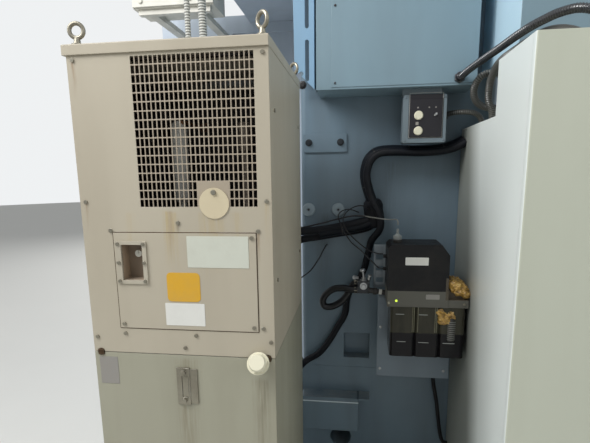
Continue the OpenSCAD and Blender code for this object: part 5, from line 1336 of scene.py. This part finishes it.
# The blank labels and the bare plate: (x, z) corners, solid they lie on, corner radius, finish and slot
CHILLER_LABELS = {
    "upper_blank_label": ((-0.612, 1.145), (-0.440, 1.232), "chiller_access_panel", 0.002, "blank_label",
                          "white_plastic"),
    "lower_blank_label": ((-0.685, 0.977), (-0.570, 1.042), "chiller_access_panel", 0.002, "blank_label_clean",
                          "white_plastic"),
    "yellow_blank_label": ((-0.676, 1.047), (-0.580, 1.130), "chiller_access_panel", 0.012, "yellow_label",
                           "cream_sheet"),
    "bare_plate": ((-0.901, 0.789), (-0.844, 0.873), "chiller_front_panel", 0.001, "grey_plate", "plated_steel"),
}


class CentreChiller(bpy.types.Operator):
    """Adds the oil chiller's blank labels, bare plate, clamp nuts and what shows behind its openings"""

    bl_idname = "machining_centre.chiller"
    bl_label = "Oil chiller"

    def execute(self, context):
        thick = context.scene.machining_centre_sizes.label
        for name, (low, high, solid, corner, finish, slot) in CHILLER_LABELS.items():
            dress(plate(low, high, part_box(solid)[0].y - thick, thick, corner), name, finish)
        self.panel_gap()
        self.clamp_nuts()
        self.intake_rails()
        self.window_backing()
        self.fins()
        return {"FINISHED"}

    def panel_gap(self):
        """The dark rusty line round the access panel, a painted shadow of its gap."""
        low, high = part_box("chiller_access_panel")
        gap = 0.0024
        strip = frame_strip(
            (low.x - gap, low.z - gap), (high.x + gap, high.z + gap), low.y + 0.0017, 0.0030, 0.0004, -1)
        dress(strip, "access_panel_gap", "rusty_steel")

    def clamp_nuts(self):
        """A square nut at each end of the seam between cabinet and tank."""
        front, seam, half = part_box("chiller_front_panel")[0].y, 0.888, 0.0095
        nuts = [slab((x - half, front - 0.004, seam - half), (x + half, front + 0.016, seam + half), 0.003)
                for x in (-0.893, -0.395)]
        dress(merge(nuts), "tank_clamp_nuts", "rusty_steel")

    def intake_rails(self):
        """The sheet's turned-in edges behind the intake, above and below it."""
        rails = [slab((-0.742, -1.578, z), (-0.392, -1.560, z + 0.006), 0.001) for z in (1.300, 1.690)]
        dress(merge(rails), "intake_rails", "condenser_parts")

    def window_backing(self):
        """The sheet behind the thermostat window, painted brown as dirt and as painted shade in its recess."""
        thick = 0.0006
        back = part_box("thermostat_knob")[1].y - thick
        sheet = plate((-0.812, 1.103), (-0.737, 1.210), back, thick, 0.002)
        dress(sheet, "thermostat_backing", "recess_dirt_and_shade")

    def fins(self):
        """Upright fins over the face of the condenser."""
        low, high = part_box("refrigeration_unit")
        count, margin, face, middle = 96, 0.01, -1.1805, 1.300
        start, end = low.x + margin, high.x - margin
        fin = slab((-0.0003, -0.002, -0.37), (0.0003, 0.002, 0.37))
        spots = [((start + (end - start) * i / (count - 1), face, middle), UP) for i in range(count)]
        dress(scatter(fin, spots), "condenser_fins", "dark_steel", smooth=False)


class CentreRear(bpy.types.Operator):
    """Adds screws, marks and small parts of the column, the switch box and the relay box"""

    bl_idname = "machining_centre.rear"
    bl_label = "Rear of the column"

    def execute(self, context):
        self.column_parts()
        self.switch_face()
        self.relay_parts()
        return {"FINISHED"}

    def column_parts(self):
        """Pins in the two domed plugs, and the bolts at the column's foot."""
        wall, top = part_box("column")[0].y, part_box("bed")[1].z
        pins = scatter(pan_screw(0.0045), [((x, wall - 0.0085, 1.231), REARWARD) for x in (-0.372, -0.239)])
        dress(pins, "plug_pins", "dark_steel")
        feet = scatter(bolt(0.014, 0.014), [((x, wall + 0.05, top), UP) for x in (-0.425, 0.425)])
        dress(feet, "column_foot_bolts", "dark_steel")

    def switch_face(self):
        """The thin pale line round the switch box's dark face, a painted highlight on its rim, its blank marks and
        the toggle's pointer.
        """
        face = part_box("switch_box")[0].y
        spots = (
            (0.071, 1.578, 0.0055), (0.073, 1.637, 0.003), (0.115, 1.637, 0.0025), (0.140, 1.637, 0.0025))
        marks = [plate((x - half, z - half), (x + half, z + half), face - 0.0005, 0.0006, 0.0008)
                 for x, z, half in spots]
        dress(merge(marks), "switch_face_marks", "grey_plate")
        # A pale line round the dark face, as a painted highlight on the rim
        line = frame_strip((0.0405, 1.5245), (0.1665, 1.6915), face + 0.0026, 0.0012, 0.0004, -1)
        dress(line, "switch_face_line", "key_caps")
        bar = plate((-0.0075, -0.0018), (0.0075, 0.0018), 0.0, 0.0006, 0.0015)
        lean = Matrix.Rotation(math.radians(-48), 4, "Y")
        bar.matrix_world = Matrix.Translation((0.140, face - 0.0005, 1.611)) @ lean
        dress(settle(bar), "switch_pointer_mark", "blank_label_clean")

    def relay_parts(self):
        """The cover's two screws, and the slotted plate's two bolts."""
        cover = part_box("relay_box")[0].y + 0.0015
        screws = scatter(pan_screw(0.0045), [((-0.2456, cover, z), REARWARD) for z in (1.734, 2.010)])
        dress(screws, "relay_cover_screws", "dark_steel")
        bolts = scatter(bolt(0.011, 0.011), [((-0.389, -0.766, z), REARWARD) for z in (1.757, 2.30)])
        dress(bolts, "slotted_plate_bolts", "black_plastic")


# The amber wraps, each as its middle, its half sizes and its lean
WRAPS = (
    ((0.226, -1.006, 0.962), (0.046, 0.034, 0.022), 0.42), ((0.230, -0.954, 0.955), (0.040, 0.036, 0.030), 0.3),
    ((0.240, -1.014, 0.944), (0.042, 0.028, 0.017), 0.34), ((0.184, -1.034, 0.846), (0.036, 0.012, 0.031), 0.0),
    ((0.168, -1.036, 0.862), (0.020, 0.011, 0.016), 0.0))


class CentreLubricator(bpy.types.Operator):
    """Adds the lubricator's blank label, its lit diode, its wraps and fittings"""

    bl_idname = "machining_centre.lubricator"
    bl_label = "Lubricator"

    def execute(self, context):
        thick = context.scene.machining_centre_sizes.label
        self.head_parts(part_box("lubricator_pump_head")[0].y, thick)
        self.chambers(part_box("lubricator_tank")[0].y)
        self.wraps()
        self.valve()
        self.link()
        self.strip()
        return {"FINISHED"}

    def head_parts(self, face, thick):
        """The blank label, the bare plate, the diode, the screws and the level switch's nut."""
        label = plate((0.028, 1.048), (0.113, 1.078), face + 0.002 - thick, thick, 0.002)
        dress(label, "cover_blank_label", "blank_label_clean")
        bare = plate((0.108, 0.917), (0.158, 0.936), face - 0.0008, 0.0009, 0.002)
        dress(bare, "flange_bare_plate", "grey_plate")
        diode = turned([(0.0045, 0.0), (0.0045, 0.002), (0.003, 0.004)], 20)
        dress(aim(diode, (-0.002, face, 0.909), REARWARD), "lit_diode", "lit_diode")
        screws = scatter(pan_screw(0.005), [((x, face, 0.900), REARWARD) for x in (-0.030, 0.250)])
        dress(screws, "flange_screws", "plated_steel")
        corners = [((x, -0.884, z), REARWARD) for x, z in ((-0.050, 0.747), (-0.050, 0.560), (0.215, 0.560))]
        dress(scatter(pan_screw(0.006), corners), "bracket_screws", "bright_screw")
        nut = turned([(0.0185, 0.0), (0.0185, 0.008), (0.0165, 0.0105)], 6)
        dress(
            aim(nut, (0.002, -0.972, 1.1262), UP), "level_switch_nut", "black_plastic")

    def chambers(self, face):
        """Pale moulded ribs between the tank's chambers, and the ringed filter cartridge in the last one."""
        ribs = [slab((x - 0.0014, face - 0.0016, 0.784), (x + 0.0014, face + 0.010, 0.884), 0.0007)
                for x in (0.062, 0.068, 0.082, 0.146, 0.152)]
        dress(merge(ribs), "tank_ribs", "rib_plastic")
        x, y = 0.2075, face + 0.0165
        body = turned([(0.019, 0.0), (0.0215, 0.003), (0.0215, 0.090), (0.019, 0.094)], 28)
        dress(aim(body, (x, y, 0.749), UP), "filter_cartridge", "cartridge_plastic")
        ring = turned([(0.0216, 0.0), (0.0222, 0.0006), (0.0222, 0.0022), (0.0216, 0.0028)], 28)
        rings = scatter(ring, [((x, y, 0.757 + 0.0078 * i), UP) for i in range(10)])
        dress(rings, "cartridge_rings", "clear_line")

    def wraps(self):
        """Crumpled amber wraps round the two connectors and on the tank's front."""
        parts = []
        for middle, size, lean in WRAPS:
            deselect()
            bpy.ops.mesh.primitive_ico_sphere_add(
                subdivisions=5, radius=1.0, location=middle, rotation=(0, lean, 0))
            item = bpy.context.object
            item.scale = size
            settle(item)
            crumple(item, "CLOUDS", 0.018, 30.0)
            crumple(item, "VORONOI", 0.009, 75.0)
            parts.append(item)
        dress(merge(parts), "amber_wraps", "amber_film", smooth=False)

    def valve(self):
        """The bright valve on the block, from two hexagons, a stem, a knob and an elbow."""
        stem = turned([(0.0045, 0.0), (0.0045, 0.030), (0.0095, 0.031), (0.0115, 0.035), (0.0115, 0.039),
                       (0.008, 0.042)], 18)
        knob = turned([(0.0065, 0.0), (0.0065, 0.010), (0.0095, 0.012), (0.0095, 0.020), (0.006, 0.023)], 12)
        elbow = turned([(0.006, 0.0), (0.006, 0.016), (0.008, 0.017), (0.008, 0.023)], 12)
        parts = [
            scatter(bolt(0.010, 0.013), [((-0.125, -0.888, 0.925), REARWARD), ((-0.124, -0.866, 0.945), UP)]),
            aim(stem, (-0.124, -0.872, 0.956), (-0.15, -0.2, 1)),
            aim(knob, (-0.148, -0.878, 0.958), (-1, -0.4, 0.15)),
            aim(elbow, (-0.104, -0.880, 0.952), (0.25, -0.3, 1)),
        ]
        dress(merge(parts), "grease_valve", "bright_screw")

    def link(self):
        """The loop hose's two nuts, and the black link from the block to the pump with its pale band."""
        ends = [((x, y, z), LEFTWARD) for x, y, z in ((-0.150, -0.868, 0.903), (-0.150, -0.846, 0.928))]
        nuts = scatter(bolt(0.0150, 0.015, washer=False), ends)
        dress(nuts, "loop_hose_nuts", "plated_steel")
        way = (1, 0, -0.12)
        link = turned([(0.0115, 0.0), (0.0115, 0.018), (0.0145, 0.020), (0.0145, 0.034), (0.0105, 0.036),
                       (0.0105, 0.068)], 20)
        dress(aim(link, (-0.104, -0.897, 0.910), way), "pump_link", "black_plastic")
        band = turned([(0.0110, 0.0), (0.0112, 0.0004), (0.0112, 0.012), (0.0110, 0.0124)], 20)
        dress(
            aim(band, (-0.062, -0.897, 0.905), way), "pump_link_band", "blank_label_clean")

    def strip(self):
        """The slotted strip behind the pump: two rails and four rungs."""
        rails = [slab((x, -0.864, 0.915), (x + 0.009, -0.860, 1.098), 0.001) for x in (-0.083, -0.044)]
        rungs = [slab((-0.076, -0.8638, z), (-0.042, -0.8602, z + height), 0.0008)
                 for z, height in ((0.915, 0.022), (0.958, 0.030), (1.008, 0.026), (1.056, 0.042))]
        dress(merge(rails + rungs), "slotted_strip", "strip_paint")


class CentreCabinet(bpy.types.Operator):
    """Adds the cabinet door's locks, its seal and the plate under its main switch"""

    bl_idname = "machining_centre.cabinet"
    bl_label = "Electrical cabinet"

    def execute(self, context):
        low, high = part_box("cabinet_door")
        lock = turned([(0.016, 0.0), (0.016, 0.003), (0.013, 0.005), (0.007, 0.005), (0.006, 0.002)], 28)
        locks = scatter(lock, [((1.205, low.y, z), REARWARD) for z in (0.42, 1.45)])
        dress(locks, "cabinet_locks", "plated_steel", "swing_door")
        rim = 0.006
        seal = frame_strip((low.x + rim, low.z + rim), (high.x - rim, high.z - rim),
                           high.y - 0.0005, 0.010, 0.0005, rounded=False)
        dress(seal, "cabinet_door_seal", "black_rubber", "swing_door")
        escutcheon = plate((1.078, 1.110), (1.162, 1.250), low.y - 0.0012, 0.0013, 0.006)
        dress(escutcheon, "switch_escutcheon", "blank_label_clean", "swing_door")
        return {"FINISHED"}


# The front guard's outer face, the side guards' outer faces, and how far a side bolt's head stands
FRONT_FACE = 1.500
SIDE_FACE = 1.250
SIDE_BOLT = 0.0055


class CentreEnclosure(bpy.types.Operator):
    """Adds the guards' bolts, the door window's seal, the work lamp and the kick plate"""

    bl_idname = "machining_centre.enclosure"
    bl_label = "Guards and door"

    def execute(self, context):
        low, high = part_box("door_window")
        edge = 0.002
        seal = frame_strip((low.x - edge, low.z - edge), (high.x + edge, high.z + edge), 1.5255, 0.020, 0.002)
        dress(seal, "window_seal", "black_rubber", "sliding_door")
        self.bolts()
        self.lamp()
        low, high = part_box("front_guard")
        kick = slab(
            (low.x + 0.06, FRONT_FACE - 0.0005, 0.10), (high.x - 0.06, FRONT_FACE + 0.006, 0.26), 0.003)
        dress(kick, "kick_plate", "bracket_paint")
        return {"FINISHED"}

    def bolts(self):
        """Rows of bolts on the front and side guards; the front's third row stops short of the open door."""
        third = 1.40
        front = [((x, FRONT_FACE, z), FORWARD) for x in (-1.225, -0.52, 0.50, 1.225)
                 for z in (0.14, 0.70, third, 2.14) if z != third or x < 0]
        dress(scatter(bolt(0.007, 0.006), front), "front_guard_bolts", "plated_steel")
        sides = [((side * (SIDE_FACE - SIDE_BOLT), y, z), (side, 0, 0)) for side in (-1, 1)
                 for y in (-0.10, 0.40, 0.91, 1.42) for z in (0.12, 0.80, 1.50, 2.18)]
        heads = scatter(bolt(0.007, SIDE_BOLT, washer=False), sides)
        dress(heads, "side_guard_bolts", "plated_steel")

    def lamp(self):
        """A sealed work lamp on the inner face of the front guard."""
        case = slab((-0.30, 1.425, 2.02), (0.30, 1.464, 2.07), 0.008, 3)
        dress(case, "work_lamp_case", "black_plastic")
        lens = slab((-0.28, 1.421, 2.026), (0.28, 1.430, 2.060), 0.004, 3)
        dress(lens, "work_lamp_lens", "white_plastic")


# The pendant's keyboard: columns, rows, their pitch and the first key's place from the case's corner
KEYS = (9, 4)
KEY_PITCH = (0.0325, 0.038)
FIRST_KEY = (0.075, 0.165)


class CentreControls(bpy.types.Operator):
    """Adds the pendant's display, key caps and the collars of its controls"""

    bl_idname = "machining_centre.controls"
    bl_label = "Control pendant"

    def execute(self, context):
        low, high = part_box("control_pendant")
        face = 1.614
        self.display(face, (low.x + 0.056, low.z + 0.330), (high.x - 0.03, high.z - 0.030))
        self.caps(low.x + FIRST_KEY[0], low.z + FIRST_KEY[1])
        self.collars(face)
        return {"FINISHED"}

    def display(self, face, low, high):
        """The display's dark glass and its rim, inset from the opening's (x, z) corners."""
        inner, outer = 0.022, 0.004
        glass = slab((low[0] + inner, face - 0.0065, low[1] + inner),
                     (high[0] - inner, face - 0.0035, high[1] - inner), 0.001)
        dress(glass, "display_glass", "screen_glass", "pendant")
        rim = frame_strip((low[0] + outer, low[1] + outer), (high[0] - outer, high[1] - outer),
                          face - 0.0045, 0.016, 0.002)
        dress(rim, "display_rim", "black_plastic", "pendant")

    def caps(self, left, low):
        """Blank key caps on the keyboard's blocks."""
        cap = slab((-0.0115, 0.0, -0.0135), (0.0115, 0.003, 0.0135), 0.0025, 3)
        spots = [((left + i * KEY_PITCH[0], 1.6165, low + j * KEY_PITCH[1]), UP)
                 for i in range(KEYS[0]) for j in range(KEYS[1])]
        dress(scatter(cap, spots), "key_caps", "key_caps", "pendant")

    def collars(self, face):
        """Bezels round the stop button, the start button and the knob."""
        parts = []
        for x, radius in ((-0.894, 0.024), (-0.984, 0.018), (-1.074, 0.024)):
            deselect()
            bpy.ops.mesh.primitive_torus_add(
                major_radius=radius, minor_radius=0.0022, major_segments=40, minor_segments=8)
            parts.append(aim(bpy.context.object, (x, face + 0.0005, 1.112), FORWARD))
        dress(merge(parts), "control_collars", "bright_screw", "pendant")


class CentreSpindle(bpy.types.Operator):
    """Adds the coolant nozzles and their manifold beside the spindle"""

    bl_idname = "machining_centre.spindle"
    bl_label = "Coolant nozzles"

    def execute(self, context):
        link = turned([(0.0085, 0.0), (0.0105, 0.004), (0.0105, 0.009), (0.0075, 0.014)], 16)
        links, pitch, top, outside = 7, 0.011, 1.462, -0.135
        spots = []
        for y, lean in ((0.385, 0.06), (0.450, 0.0), (0.515, -0.06)):
            for k in range(links):
                share = k / (links - 1)
                place = (outside + 0.035 * share * share, y + lean * share * 0.5, top - pitch * k)
                spots.append((place, (0.25 * share, lean * 2, -1)))
        dress(scatter(link, spots), "coolant_nozzles", "orange_plastic", "head_unit")
        block = slab((-0.155, 0.365, top), (-0.115, 0.535, top + 0.030), 0.004)
        dress(block, "coolant_manifold", "dark_steel", "head_unit")
        return {"FINISHED"}


class MACHININGCENTRE_PT_sidebar(bpy.types.Panel):
    """Lists the machining centre's pieces and settings"""

    bl_idname = "MACHININGCENTRE_PT_sidebar"
    bl_label = "Machining Centre"
    bl_space_type = "VIEW_3D"
    bl_region_type = "UI"
    bl_category = "Machining Centre"

    def draw(self, context):
        column = self.layout.column()
        for step in OPERATORS:
            column.operator(step.bl_idname)
        for group in ("machining_centre_colours", "machining_centre_sizes", "machining_centre_stage"):
            settings = getattr(context.scene, group)
            for key in settings.__annotations__:
                column.prop(settings, key)


SETTINGS = {
    "machining_centre_colours": MachiningCentreColours,
    "machining_centre_sizes": MachiningCentreSizes,
    "machining_centre_stage": MachiningCentreStage,
}
OPERATORS = (
    CentreStage, CentreFinishes, CentreHoses, CentreChiller, CentreRear, CentreLubricator, CentreCabinet,
    CentreEnclosure, CentreControls, CentreSpindle,
)


def register():
    """Registers the settings, the operators and the panel."""
    for name, group in SETTINGS.items():
        bpy.utils.register_class(group)
        setattr(bpy.types.Scene, name, bpy.props.PointerProperty(type=group))
    for step in OPERATORS:
        bpy.utils.register_class(step)
    bpy.utils.register_class(MACHININGCENTRE_PT_sidebar)


def unregister():
    """Takes everything out again."""
    bpy.utils.unregister_class(MACHININGCENTRE_PT_sidebar)
    for step in reversed(OPERATORS):
        bpy.utils.unregister_class(step)
    for name, group in SETTINGS.items():
        delattr(bpy.types.Scene, name)
        bpy.utils.unregister_class(group)


def main():
    """Dresses the frame, step by step."""
    register()
    bpy.ops.machining_centre.stage()
    bpy.ops.machining_centre.finishes()
    bpy.ops.machining_centre.hoses()
    bpy.ops.machining_centre.chiller()
    bpy.ops.machining_centre.rear()
    bpy.ops.machining_centre.lubricator()
    bpy.ops.machining_centre.cabinet()
    bpy.ops.machining_centre.enclosure()
    bpy.ops.machining_centre.controls()
    bpy.ops.machining_centre.spindle()
    deselect()


if __name__ == "__main__":
    main()
